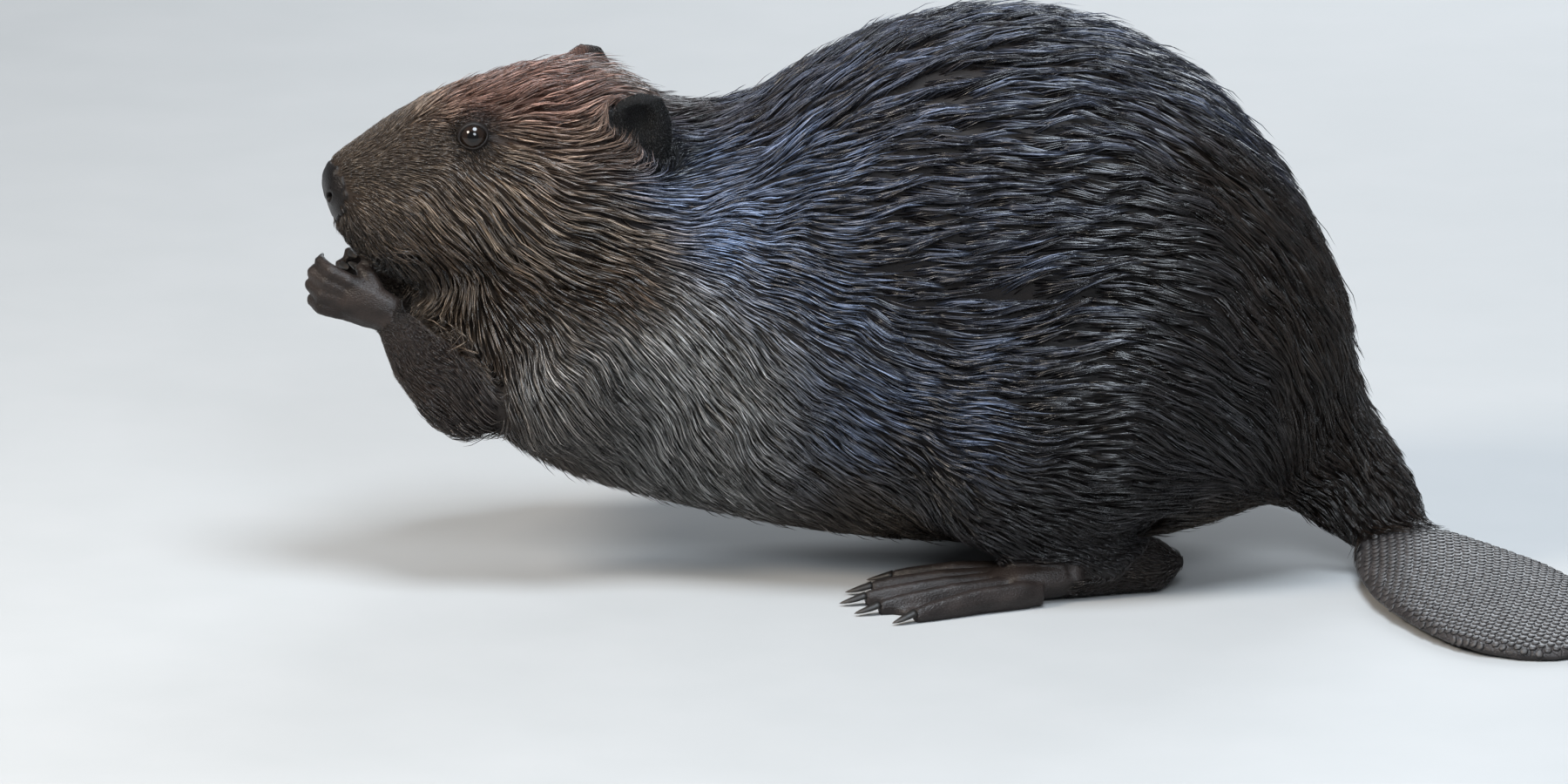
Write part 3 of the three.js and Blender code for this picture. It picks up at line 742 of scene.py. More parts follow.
def sinkSkin(mesh):
    # draws the skin in by the depth of the coat and says what grows on each point
    points, normals = pointsOf(mesh), normalsOf(mesh)
    nearNode = {node: distanceTo(node, points, 25) for node in {*fineNodes, *limbLies}}
    coat = coatAt(points, normals, nearNode)
    bare = bareShare(points, nearNode)
    depth = np.minimum(coat["length"] * coatDo["depth"], coatDo["deepest"]) * (1 - bare) * mm
    movePoints(mesh, points - normals * depth[:, None])
    return nearNode, coat, bare


nearNode, coat, bare = sinkSkin(skinMesh)
print("skin: thinning")
fullPoints = pointsOf(skinMesh)
skinMesh = thinned(skinMesh, skinDo["faces"])
fullTree = pointTree(fullPoints)
skinPoints = pointsOf(skinMesh)
skinNormals = normalsOf(skinMesh)
skinTriangles = trianglesOf(skinMesh)
nearest = np.array([fullTree.find(point)[1] for point in skinPoints])
coat = {name: values[nearest] for name, values in coat.items()}
bare = bare[nearest]
nearNode = {name: values[nearest] for name, values in nearNode.items()}
skinTree = BVHTree.FromPolygons(skinPoints.tolist(), skinTriangles.tolist())
print("skin:", len(skinTriangles), "triangles")

skin = linked("skin", skinMesh)


leatherColours = {  # of the bare skin, how plain it is, and how much its mottling adds
    "nose": ((0.0085, 0.006, 0.0055), 0.7, 0.6),
    "forepaw": ((0.024, 0.0175, 0.015), 0.7, 0.6),
    "hind_foot": ((0.026, 0.020, 0.018), 0.75, 0.5),
    "tail": ((0.034, 0.029, 0.028), 0.75, 0.5),
}


def paintSkin():
    # underfur colours, darkened below the dark hairs as painted shade in the gaps between locks, black
    # leather where bare, and how bare it is in the alpha
    tone = 0.5 + 0.5 * waves(skinPoints, 14, 21)[:, None]
    # darker than the dark hairs: partly the underfur's colour, partly painted shade in the gaps between locks
    tint = coat["dark"] * (0.55 + 0.25 * tone)
    colour, plain, mottled = leatherColours["nose"]
    leather = np.array(colour) * (plain + mottled * tone)
    for node in fineNodes:
        kind = node.rsplit("_", 1)[0]
        if kind in leatherColours:
            colour, plain, mottled = leatherColours[kind]
            share = 1 - smoothstep(0.5, 3, nearNode[node])
            leather = leather + (np.array(colour) * (plain + mottled * tone) - leather) * share[:, None]
    leather = leather * (1 - 0.4 * padShare(skinPoints))[:, None]
    setTint(skinMesh, tint + (leather - tint) * bare[:, None], bare)
    setValue(skinMesh, "tailShare", 1 - smoothstep(0.5, 3, nearNode["tail"]))


paintSkin()


class Field:
    # a node's output that can stand in a sum

    def __init__(self, shades, socket):
        self.shades, self.socket = shades, socket

    def sum(self, operation, first, second):
        return self.shades.node("ShaderNodeMath", {"operation": operation}, [first, second])

    def __add__(self, other):
        return self.sum("ADD", self, other)

    def __sub__(self, other):
        return self.sum("SUBTRACT", self, other)

    def __rsub__(self, other):
        return self.sum("SUBTRACT", other, self)

    def __mul__(self, other):
        return self.sum("MULTIPLY", self, other)

    def __truediv__(self, other):
        return self.sum("DIVIDE", self, other)

    __radd__ = __add__
    __rmul__ = __mul__


class Shades:
    # the nodes of one material

    def __init__(self, name, **fixed):
        self.material = bpy.data.materials.new(name)
        self.material.use_nodes = True
        self.tree = self.material.node_tree
        self.shader = self.tree.nodes["Principled BSDF"]
        for socket, value in fixed.items():
            self.set(self.shader.inputs[socket.replace("_", " ")], value)

    def set(self, socket, value):
        if isinstance(value, Field):
            self.tree.links.new(value.socket, socket)
        elif isinstance(value, tuple) and len(value) == 3 and socket.type == "RGBA":
            socket.default_value = (*value, 1)
        else:
            socket.default_value = value

    def node(self, kind, settings=None, values=None, out=0):
        made = self.tree.nodes.new(kind)
        for key, value in (settings or {}).items():
            setattr(made, key, value)
        pairs = values.items() if isinstance(values, dict) else enumerate(values or [])
        for key, value in pairs:
            self.set(made.inputs[key], value)
        return Field(self, made.outputs[out])

    def attribute(self, name, out="Fac"):
        return self.node("ShaderNodeAttribute", {"attribute_name": name}, out=out)

    def place(self, stretch=(1, 1, 1)):
        where = self.node("ShaderNodeTexCoord", out="Object")
        if stretch == (1, 1, 1):
            return where
        return self.node("ShaderNodeMapping", {}, {"Vector": where, "Scale": stretch})

    def noise(self, scale, detail=2.0, where=None, out="Fac"):
        values = {"Vector": where or self.place(), "Scale": scale, "Detail": detail}
        return self.node("ShaderNodeTexNoise", {}, values, out)

    def cells(self, scale, feature="F1", where=None):
        values = {"Vector": where or self.place(), "Scale": scale}
        return self.node("ShaderNodeTexVoronoi", {"feature": feature}, values)

    def between(self, low, high, value, smooth=True):
        settings = {"interpolation_type": "SMOOTHSTEP" if smooth else "LINEAR"}
        values = {"Value": value, "From Min": low, "From Max": high}
        return self.node("ShaderNodeMapRange", settings, values)

    def mixed(self, share, first, second, blend="MIX"):
        settings = {"data_type": "RGBA", "blend_type": blend}
        return self.node("ShaderNodeMix", settings, {0: share, 6: first, 7: second}, 2)

    def scaled(self, colour, factor):
        return self.node("ShaderNodeVectorMath", {"operation": "SCALE"}, {0: colour, "Scale": factor})

    def bump(self, height, distance, strength=1.0):
        values = {"Height": height, "Distance": distance, "Strength": strength}
        return self.node("ShaderNodeBump", {}, values)

    def finish(self, **drawn):
        for socket, value in drawn.items():
            self.set(self.shader.inputs[socket.replace("_", " ")], value)
        return self.material


def coatFinish():
    # wet guard hairs: darker towards the root, partly their own colour and partly painted shade deep in the
    # coat, streaked along their length, with a soft gloss
    shades = Shades("wetFur", Specular_IOR_Level=0.65)
    tint = shades.attribute("tint", "Color")
    along = shades.attribute("tint", "Alpha")
    streaks = shades.noise(900, 1.0)
    patches = shades.noise(28, 3.0)
    # darker towards the root: partly the hairs' own colour, partly painted shade deep in the coat
    tone = (0.5 + 0.62 * along) * (0.72 + 0.5 * streaks) * (0.8 + 0.4 * patches)
    return shades.finish(
        Base_Color=shades.scaled(tint, tone),
        Roughness=0.17 + 0.16 * patches + 0.06 * streaks,
    )


def skinFinish():
    # underfur under the coat; black leather, creased and pebbled, on the nose, hands, feet and tail
    shades = Shades("skin", Specular_IOR_Level=0.25)
    tint = shades.attribute("tint", "Color")
    bare = shades.attribute("tint", "Alpha")
    tail = shades.attribute("tailShare")
    fine = shades.noise(1400, 3.0)
    pebbles = shades.cells(1300, "SMOOTH_F1")
    creases = shades.cells(780, "DISTANCE_TO_EDGE", shades.place((0.45, 1, 1)))
    crease = shades.between(0.0, 0.22, creases)
    plates = shades.between(0.0, 0.12, shades.cells(170, "DISTANCE_TO_EDGE"))
    leather = crease * 0.18 + (1 - pebbles) * 0.26 + plates * tail * 0.9
    height = bare * leather + fine * 0.35
    # the leather is darker along its creases
    tone = (0.72 + 0.5 * fine) * (0.82 + 0.2 * crease * bare + 0.1 * (1 - bare))
    return shades.finish(
        Base_Color=shades.scaled(tint, tone),
        Roughness=0.60 - 0.27 * bare + 0.12 * fine,
        Normal=shades.bump(height, 0.0006, 0.7),
    )


def leatherFinish():
    # the bare skin of the lids, finely creased
    shades = Shades("lidSkin", Specular_IOR_Level=0.35)
    tint = shades.attribute("tint", "Color")
    fine = shades.noise(1900, 3.0)
    creases = shades.between(0.0, 0.3, shades.cells(2600, "DISTANCE_TO_EDGE"))
    return shades.finish(
        Base_Color=shades.scaled(tint, 0.7 + 0.55 * fine),
        Roughness=0.40 + 0.14 * fine,
        Normal=shades.bump(creases * 0.5 + fine * 0.6, 0.00012, 0.5),
    )


def eyeFinish():
    # a wet eye: dark brown iris round a black pupil under a clear coat
    shades = Shades("eye", Specular_IOR_Level=0.12, Coat_Weight=1.0, Coat_Roughness=0.03, Coat_IOR=1.38)
    tint = shades.attribute("tint", "Color")
    rays = shades.noise(1500, 2.0)
    return shades.finish(Base_Color=shades.scaled(tint, 0.55 + 0.9 * rays), Roughness=0.10 + 0.05 * rays)


def hornFinish():
    # claws: dark horn, streaked along, scuffed paler towards the tip
    shades = Shades("horn", Specular_IOR_Level=0.4)
    tint = shades.attribute("tint", "Color")
    along = shades.attribute("tint", "Alpha")
    grain = shades.noise(1100, 3.0)
    scuffs = shades.noise(420, 2.0)
    return shades.finish(
        Base_Color=shades.scaled(tint, 0.62 + 0.5 * grain + 0.3 * scuffs),
        Roughness=0.38 + 0.18 * scuffs + 0.08 * along,
        Normal=shades.bump(grain, 0.00025, 0.5),
    )


def scaleFinish():
    # the tail's scales: dark slate leather, each scale its own shade, paler on its crown and darker towards
    # its base
    shades = Shades("tailScales", Specular_IOR_Level=0.5)
    tint = shades.attribute("tint", "Color")
    crown = shades.attribute("tint", "Alpha")
    grain = shades.noise(1600, 3.0)
    patches = shades.noise(45, 2.0)
    return shades.finish(
        Base_Color=shades.scaled(tint, (0.7 + 0.4 * patches) * (0.75 + 0.45 * grain)),
        Roughness=0.48 - 0.08 * crown + 0.16 * grain,
        Normal=shades.bump(grain, 0.0003, 0.6),
    )


def floorFinish():
    shades = Shades("paleFloor")
    mottle = shades.noise(14, 4.0)
    colour = shades.mixed(mottle, (0.37, 0.37, 0.365), (0.41, 0.405, 0.40))
    return shades.finish(Base_Color=colour, Roughness=0.82 + 0.06 * mottle)


wetFur, horn = coatFinish(), hornFinish()
addPiece(skin, skinFinish(), "fur", *bodyNodes, *limbNodes, *fineNodes)


hairDo = {
    "strands": 103000,  # in the whole coat
    "thin": 0.24,  # a hair's width in millimetres at no length
    "thicker": 0.0165,  # and how much it grows with each millimetre of length
    "parted": 0.16,  # how far its hairs already lean together at their roots
    "drawn": 0.90,  # and how far they run together by its tip
    "ridge": 0.52,  # how far a lock's middle stands up, to its width
    "shortest": 12,  # millimetres under which a hair needs one bend less
    "stray": 0.035,  # share of hairs that leave their lock
    "pieces": 12100,  # hairs to a piece
    "patch": 0.003,  # of the bake map, for one hair
    "bends": {"long": (0, 0.36, 0.74, 1), "short": (0, 0.5, 1)},  # to the length
    "taper": (0.8, 1.0, 0.72, 0),  # the width at the bends of a long hair
    "lockLengths": (0.72, 1.22),
    "hairLengths": (0.8, 1.12),
    "twist": 0.16,  # of each lock off the lie
    "swirl": 0.24,  # of many neighbouring locks together
    "swirlOver": 38,  # millimetres
    "lockLifts": (0.75, 1.15),
    "lockGapShade": 0.65,  # painted shade on the hairs at a lock's edge, for the gaps between locks
}


def strandTemplate(bends):
    # a tapering three-sided spike, closed at the root, its map one patch
    bm = bmesh.new()
    bmesh.ops.create_cone(bm, cap_ends=True, segments=3, radius1=1, radius2=0, depth=1)
    bmesh.ops.translate(bm, verts=bm.verts, vec=(0, 0, 0.5))
    for height in bends[1:-1]:
        bmesh.ops.bisect_plane(bm, geom=bm.verts[:] + bm.edges[:] + bm.faces[:],
                               plane_co=(0, 0, height), plane_no=(0, 0, 1))
    bm.verts.index_update()
    heights = np.array([vert.co.z for vert in bm.verts])
    flat = np.array([vert.co.to_2d() for vert in bm.verts])
    ring = np.array([int(np.argmin(np.abs(np.array(bends) - height))) for height in heights])
    corners, starts, spots = [], [], []
    for face in bm.faces:
        starts.append(len(corners))
        middle = face.calc_center_median()
        facing = math.atan2(middle.y, middle.x)
        for vert in face.verts:
            turn = math.atan2(vert.co.y, vert.co.x) - facing if vert.co.to_2d().length > 1e-6 else 0
            around = (facing + (turn + math.pi) % (2 * math.pi) - math.pi) / (2 * math.pi) + 0.5
            corners.append(vert.index)
            spots.append((around, vert.co.z))
    bm.free()
    spokes = unit(np.where(np.linalg.norm(flat, axis=1, keepdims=True) > 1e-6, flat, 0))
    return {"ring": ring, "spokes": spokes, "corners": np.array(corners), "starts": np.array(starts),
            "spots": np.array(spots), "bends": bends}


def meshFrom(name, points, corners, starts):
    mesh = bpy.data.meshes.new(name)
    mesh.vertices.add(len(points))
    mesh.vertices.foreach_set("co", points.ravel())
    mesh.loops.add(len(corners))
    mesh.loops.foreach_set("vertex_index", corners.astype(np.int32))
    mesh.polygons.add(len(starts))
    mesh.polygons.foreach_set("loop_start", starts.astype(np.int32))
    mesh.update(calc_edges=True)
    mesh.polygons.foreach_set("use_smooth", np.ones(len(starts), bool))
    return mesh


def strandMesh(name, parts):
    # joins hairs of one or more templates; each part says its paths, ups, widths, tints and map places
    points, corners, starts, places, tints = [], [], [], [], []
    vertCount = cornerCount = 0
    for template, paths, ups, widths, tint, mapPlaces in parts:
        count = len(paths)
        if not count:
            continue
        tangents = unit(np.gradient(paths, axis=1))
        sides = unit(np.cross(tangents, ups))
        ups = np.cross(sides, tangents)
        ring, spokes = template["ring"], template["spokes"]
        reach = widths[:, ring, None] * mm
        points.append((paths[:, ring] + sides[:, ring] * spokes[:, 1, None] * reach * 0.5
                       + ups[:, ring] * spokes[:, 0, None] * reach * 0.36).reshape(-1, 3))
        step = len(ring)
        corners.append((template["corners"] + (vertCount + np.arange(count) * step)[:, None]).ravel())
        starts.append((template["starts"]
                       + (cornerCount + np.arange(count) * len(template["corners"]))[:, None]).ravel())
        vertCount += count * step
        cornerCount += count * len(template["corners"])
        patch = (template["spots"] - 0.5) * hairDo["patch"]
        places.append((mapPlaces[:, None] + patch[None]).reshape(-1, 2))
        along = np.array(template["bends"])[ring]
        full = [np.repeat(tint[:, None], step, 1), np.tile(along, (count, 1))[:, :, None]]
        tints.append(np.concatenate(full, 2).reshape(-1, 4))
    mesh = meshFrom(name, np.concatenate(points), np.concatenate(corners), np.concatenate(starts))
    tints = np.concatenate(tints)
    setTint(mesh, tints[:, :3], tints[:, 3])
    places = np.concatenate(places).astype(np.float32)
    mesh.uv_layers.new(name="OFBake").data.foreach_set("uv", np.clip(places, 0, 1).ravel())
    return mesh


def skinMapPlaces():
    # unwraps the skin by the facing of its surface; the map is only used to place the hairs' patches
    bpy.context.view_layer.objects.active = skin
    skin.select_set(True)
    bpy.ops.object.mode_set(mode="EDIT")
    bpy.ops.mesh.select_all(action="SELECT")
    bpy.ops.uv.smart_project(angle_limit=math.radians(66), island_margin=0.0)
    bpy.ops.object.mode_set(mode="OBJECT")
    layer = skinMesh.uv_layers[0]
    spots = readArray(layer.data, "uv", 2).reshape(-1, 3, 2).astype(float)
    skinMesh.uv_layers.remove(layer)
    return spots


def hairWidths(lengths):
    return hairDo["thin"] + hairDo["thicker"] * lengths


def sampleRoots(mapPlaces):
    # roots spread over the skin, closer where the hair is short and fine
    a, b, c = (skinPoints[skinTriangles[:, k]] for k in range(3))
    area = np.linalg.norm(np.cross(b - a, c - a), axis=1) / 2 / mm ** 2
    closeness = (1 - bare) ** 2 / (hairWidths(coat["length"]) * (coat["length"] + 3))
    wanted = area * closeness[skinTriangles].mean(1)
    wanted *= hairDo["strands"] / wanted.sum()
    counts = np.floor(wanted + rng.random(len(wanted))).astype(int)
    triangle = np.repeat(np.arange(len(counts)), counts)
    first, second = rng.random((2, len(triangle)))
    fold = first + second > 1
    first, second = np.where(fold, 1 - first, first), np.where(fold, 1 - second, second)
    shares = np.stack([1 - first - second, first, second], 1)
    corners = skinTriangles[triangle]

    def blended(values):
        return np.einsum("nk,nk...->n...", shares, values[corners])

    roots = {name: blended(values) for name, values in coat.items()}
    roots["point"], roots["normal"] = blended(skinPoints), unit(blended(skinNormals))
    roots["map"] = np.einsum("nk,nkj->nj", shares, mapPlaces[triangle])
    shuffle = rng.permutation(len(triangle))
    return {name: values[shuffle] for name, values in roots.items()}


def lockWidths(roots):
    # in millimetres
    return roots["length"] * roots["clump"]


def chooseLocks(roots):
    # some roots become the middles of locks, kept apart by most of a lock's width
    spacing = lockWidths(roots)
    chance = 0.572 * hairWidths(roots["length"]) * roots["length"] / spacing ** 2
    picked = np.flatnonzero(rng.random(len(spacing)) < chance)
    tree = pointTree(roots["point"][picked])
    kept = np.ones(len(picked), bool)
    for i, index in enumerate(picked):
        if kept[i]:
            for _, other, _ in tree.find_range(roots["point"][index], spacing[index] * 0.62 * mm):
                if other > i:
                    kept[other] = False
    return picked[kept]


def tracePaths(points, headings, normals, lengths, steps):
    # runs along the skin with the lie of the coat, and gives the line and the skin's normals on it
    lie = coat["lie"]
    path, ups = [points], [normals]
    stride = (lengths * mm / steps)[:, None]
    for _ in range(steps):
        ahead = path[-1] + headings * stride
        found = [skinTree.find_nearest(spot) for spot in ahead]
        near = np.array([hit[2] for hit in found])
        corners = skinTriangles[near]
        normal = unit(skinNormals[corners].sum(1))
        onSkin = np.array([hit[0] for hit in found])
        path.append(onSkin)
        ups.append(normal)
        headings = unit(lie[corners].sum(1)) * 0.62 + headings * 0.38
        sway = waves(onSkin, 26, 41)[:, None] * 0.15
        headings = headings + np.cross(normal, headings) * sway
        headings = unit(headings - normal * np.sum(headings * normal, 1, keepdims=True))
    return np.stack(path, 1), np.stack(ups, 1)


def alongLine(values, shares):
    # values at even steps along each line, read at shares of its length
    last = values.shape[1] - 1
    spot = np.clip(shares * last, 0, last - 1e-6)
    low = np.floor(spot).astype(int)
    rows = np.arange(len(values))[:, None]
    part = (spot - low)[:, :, None]
    return values[rows, low] * (1 - part) + values[rows, low + 1] * part


def growCoat():
    roots = sampleRoots(skinMapPlaces())
    middles = chooseLocks(roots)
    print("coat:", len(roots["length"]), "hairs in", len(middles), "locks")
    lockLength = roots["length"][middles] * rng.uniform(*hairDo["lockLengths"], len(middles))
    twist = rng.normal(0, hairDo["twist"], len(middles))
    twist = twist + hairDo["swirl"] * waves(roots["point"][middles], hairDo["swirlOver"], 42)
    heading, normal = roots["lie"][middles], roots["normal"][middles]
    heading = unit(heading + np.cross(normal, heading) * twist[:, None])
    lines, ups = tracePaths(roots["point"][middles], heading, normal, lockLength, 6)
    tree = pointTree(roots["point"][middles])
    lock = np.array([tree.find(point)[1] for point in roots["point"]])
    count = len(lock)
    length = roots["length"] * (lockLength / roots["length"][middles])[lock]
    length = length * rng.uniform(*hairDo["hairLengths"], count)
    offset = roots["point"] - roots["point"][middles][lock]
    halfWidth = lockWidths(roots) * 0.55
    out = np.minimum(gapTo(offset, 0) / halfWidth, 1.3)
    stray = rng.random(count) < hairDo["stray"]
    loose = rng.uniform(-0.2, 0.3, count)
    drawn = np.where(stray, loose, hairDo["drawn"] * rng.uniform(0.85, 1.08, count))
    depth = np.minimum(roots["length"] * coatDo["depth"], coatDo["deepest"])
    lockLift = rng.uniform(*hairDo["lockLifts"], len(middles))[lock]
    shade = rng.beta(0.75, 1.9, len(middles))[lock] * 0.75 + rng.beta(1.0, 2.6, count) * 0.65
    shade = np.clip(shade * roots["lean"] / 0.33, 0, 1)[:, None]
    tint = roots["dark"] + (roots["pale"] - roots["dark"]) * shade ** 1.6
    tint = tint * rng.uniform(0.8, 1.2, (count, 1))
    # painted shade: hairs at a lock's edge darker, those inside a little brighter, for the gaps between locks
    tint = tint * np.where(out > 0.8, hairDo["lockGapShade"], 1.08)[:, None]
    width = hairWidths(roots["length"]) * rng.uniform(0.75, 1.3, count)
    roll = rng.normal(0, 0.35, count)
    isLong = roots["length"] >= hairDo["shortest"]
    parts = {}
    for kind, bends in hairDo["bends"].items():
        rows = np.flatnonzero(isLong if kind == "long" else ~isLong)
        share = np.array(bends)[None]
        reached = share * (length[rows] / lockLength[lock[rows]])[:, None]
        line, up = alongLine(lines[lock[rows]], reached), alongLine(ups[lock[rows]], reached)
        over = np.maximum(reached - 1, 0)[:, :, None] * lockLength[lock[rows]][:, None, None] * mm
        line = line + unit(lines[lock[rows], -1] - lines[lock[rows], -2])[:, None] * over
        spread = (1 - hairDo["parted"]) * (1 - drawn[rows, None] * share ** 0.72)
        rise = 1 - (1 - share) ** 1.7
        height = depth[rows, None] * lockLift[rows, None] * rise * (1 + 0.5 * stray[rows, None])
        ridge = halfWidth[rows, None] * hairDo["ridge"] * (1 - np.minimum(out[rows, None], 1) ** 2)
        height = height + ridge * np.sin(np.minimum(share * 1.25, 1) * math.pi * 0.5) * (1 - 0.5 * share)
        height = height - 0.35 * (share == 0) + (roots["stand"] * length)[rows, None] * share ** 1.3
        waver = rng.normal(0, 0.011, (len(rows), len(bends), 3)) * length[rows, None, None]
        waver = waver * share[:, :, None]
        paths = line + offset[rows, None] * spread[:, :, None] + (up * height[:, :, None] + waver) * mm
        paths[:, :, 2] = np.maximum(paths[:, :, 2], 0.4 * mm)
        side = unit(np.cross(up, np.gradient(paths, axis=1)))
        rolled = up * np.cos(roll[rows])[:, None, None] + side * np.sin(roll[rows])[:, None, None]
        taper = np.interp(bends, hairDo["bends"]["long"], hairDo["taper"])
        parts[kind] = (rows, paths, rolled, width[rows, None] * taper[None])
    return roots, parts, tint


def splitCoat(roots, parts, tint):
    # cuts the coat into pieces from nose to tail
    order = roots["point"][:, 0]
    pieces = math.ceil(len(order) / hairDo["pieces"])
    edges = np.quantile(order, np.linspace(0, 1, pieces + 1))
    edges[-1] += 1
    templates = {kind: strandTemplate(bends) for kind, bends in hairDo["bends"].items()}
    for i in range(pieces):
        chosen = []
        for kind, (rows, paths, ups, widths) in parts.items():
            inside = (order[rows] >= edges[i]) & (order[rows] < edges[i + 1])
            chosen.append((templates[kind], paths[inside], ups[inside], widths[inside],
                           tint[rows[inside]], roots["map"][rows[inside]]))
        piece = linked(f"coat_{i + 1}", strandMesh(f"coat_{i + 1}", chosen))
        addPiece(piece, wetFur, "fur")
    print("coat:", pieces, "pieces")


splitCoat(*growCoat())


def loft(bm, rings, closed=True):
    # joins rings of points, one after the other; the ends are closed where asked
    loops = []
    for ring in rings:
        made = bmesh.ops.create_circle(bm, cap_ends=False, segments=len(ring), radius=1)["verts"]
        for vert, spot in zip(made, ring):
            vert.co = spot
        loops.append(made)
    edges = [list({edge for vert in loop for edge in vert.link_edges}) for loop in loops]
    for first, second in zip(edges, edges[1:]):
        bmesh.ops.bridge_loops(bm, edges=first + second)
    if closed:
        for end in (edges[0], edges[-1]):
            bmesh.ops.contextual_create(bm, geom=end)
    bmesh.ops.recalc_face_normals(bm, faces=bm.faces)


lidDo = {
    # degrees past the opening's edge, and millimetres over the eyeball, from the margin outwards
    "above": [(-3.5, -0.5), (-3, 0.15), (-1.8, 0.6), (0.5, 1.0), (4, 1.1), (7.5, 0.7), (11.5, 0.8),
              (17, 0.6), (26, 0.0), (34, -1.0)],
    "below": [(-2, -0.5), (-1.5, 0.1), (-0.5, 0.3), (1.5, 0.42), (4.5, 0.4), (8, 0.2), (12, 0.4),
              (17, 0.35), (26, -0.1), (34, -1.0)],
    "around": 56,
    "margin": (0.034, 0.025, 0.021),  # the lid's rim, paler on the lower lid as a painted reflection of its wet edge
    "skin": (0.010, 0.007, 0.006),
}

irisDo = {
    "pupil": 21,  # degrees from the gaze
    "iris": 47,
    "colour": (0.013, 0.007, 0.0045),
    "edge": (0.006, 0.004, 0.003),
    "black": (0.0025, 0.002, 0.002),
    "cornea": 0.45,  # millimetres that it stands over the ball
}


def addEye(sign):
    middle, gaze = eyeMiddle(sign)
    ahead = eyeAxes(sign)[0]
    bm = bmesh.new()
    bmesh.ops.create_uvsphere(bm, u_segments=64, v_segments=40, radius=eyeDo["radius"] * mm)
    turn = Matrix((ahead, np.cross(gaze, ahead), gaze)).transposed()
    bmesh.ops.rotate(bm, verts=bm.verts, cent=(0, 0, 0), matrix=turn)
    tints = []
    for vert in bm.verts:
        off = math.degrees(vert.co.angle(Vector(gaze)))
        bulge = 1 - smoothstep(10, 50, off)
        vert.co *= 1 + irisDo["cornea"] / eyeDo["radius"] * float(bulge)
        vert.co += Vector(middle)
        tints.append(off)
    off = np.array(tints)[:, None]
    iris = smoothstep(irisDo["pupil"] - 2, irisDo["pupil"] + 2, off)
    iris = iris * (1 - smoothstep(38, irisDo["iris"], off))
    eye = fromBmesh(f"eyeball_{sideName(sign)}", bm)
    black = np.array(irisDo["black"])
    colours = black + (np.array(irisDo["edge"]) - black) * smoothstep(38, irisDo["iris"], off)
    setTint(eye.data, colours + (np.array(irisDo["colour"]) - black) * iris)
    addPiece(eye, eyeFinish(), "eye", f"eye_{sideName(sign)}")


def addLids(sign):
    middle, gaze = eyeMiddle(sign)
    ahead, up, _ = eyeAxes(sign)
    turns = np.linspace(0, 2 * math.pi, lidDo["around"], endpoint=False)
    edge = openingAngle(turns)
    upper = smoothstep(-0.25, 0.25, np.sin(turns))
    rings, tints = [], []
    for above, below in zip(lidDo["above"], lidDo["below"]):
        off = edge + np.radians(below[0] + (above[0] - below[0]) * upper)
        radius = eyeDo["radius"] + below[1] + (above[1] - below[1]) * upper
        flat = np.cos(turns)[:, None] * ahead + np.sin(turns)[:, None] * up
        heading = np.cos(off)[:, None] * gaze + np.sin(off)[:, None] * flat
        rings.append(middle + heading * radius[:, None] * mm)
        # painted reflection: the lower lid's rim is paler, the upper one nearly skin colour
        pale = (1 - 0.95 * upper) * (1 if -1 < above[0] < 2 else 0)
        lift = (np.array(lidDo["margin"]) - lidDo["skin"]) * np.reshape(pale, (-1, 1))
        tints.append(lidDo["skin"] + lift)
    bm = bmesh.new()
    loft(bm, rings, closed=False)
    lids = fromBmesh(f"lids_{sideName(sign)}", bm)
    soft = lids.modifiers.new("soft", "SUBSURF")
    soft.levels = soft.render_levels = 1
    setTint(lids.data, np.concatenate([np.broadcast_to(tint, (len(turns), 3)) for tint in tints]))
    addPiece(lids, leatherFinish(), "bare_skin")


for sign in (-1, 1):
    addEye(sign)
    addLids(sign)
print("eyes and lids")

clawDo = {
    "around": 14,
    "stations": 9,
    "root": 1.6,  # millimetres that it starts inside the toe
    "past": 0.6,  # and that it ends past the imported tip's middle
    "under": 0.55,  # its half height below, to the one above
    "foreSlim": 0.92,
    "hindFlat": 0.72,
    "rootColour": (0.011, 0.009, 0.0075),
    "tipColour": (0.036, 0.028, 0.022),
}


def clawLine(node):
    # the middles of a packed claw's root, waist and tip, and how wide its root is from its middle
    points = np.unique(np.round(pointsOf(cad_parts[node].data), 7), axis=0)
    centre = points.mean(0)
    axis = np.linalg.svd(points - centre)[2][0]
    order = np.argsort((points - centre) @ axis)
    groups = [points[order[i * len(order) // 3:(i + 1) * len(order) // 3]] for i in range(3)]
    if np.ptp(groups[0], 0).sum() < np.ptp(groups[2], 0).sum():
        groups.reverse()
    middles = np.array([group.mean(0) for group in groups])
    size = np.linalg.norm(groups[0] - middles[0], axis=1).max()
    return middles, size


def addClaw(node, flat, down):
    middles, size = clawLine(node)
    heading = unit(middles[2] - middles[0])
    down = unit(down - heading * (heading @ down))
    side = np.cross(heading, down)
    start = middles[0] - heading * clawDo["root"] * mm
    end = middles[2] + heading * clawDo["past"] * mm
    turns = np.linspace(0, 2 * math.pi, clawDo["around"], endpoint=False)
    under = np.where(np.sin(turns) > 0, clawDo["under"], 1)
    rings = []
    for share in np.linspace(0, 1, clawDo["stations"]):
        spot = start * (1 - share) ** 2 + middles[1] * 2 * share * (1 - share) + end * share ** 2
        slim = (1 - share ** 1.7) ** 0.75 * 0.96 + 0.04
        wide = np.cos(turns)[:, None] * side * size * slim
        tall = (np.sin(turns) * under)[:, None] * down * size * slim * flat
        rings.append(spot + wide + tall)
    bm = bmesh.new()
    loft(bm, rings)
    claw = fromBmesh(node.replace("claw", "nail"), bm)
    along = np.repeat(np.linspace(0, 1, clawDo["stations"]), clawDo["around"])
    base, tip = np.array(clawDo["rootColour"]), np.array(clawDo["tipColour"])
    setTint(claw.data, base + (tip - base) * smoothstep(0.35, 1, along)[:, None], along)
    addPiece(claw, horn, "claw", node)


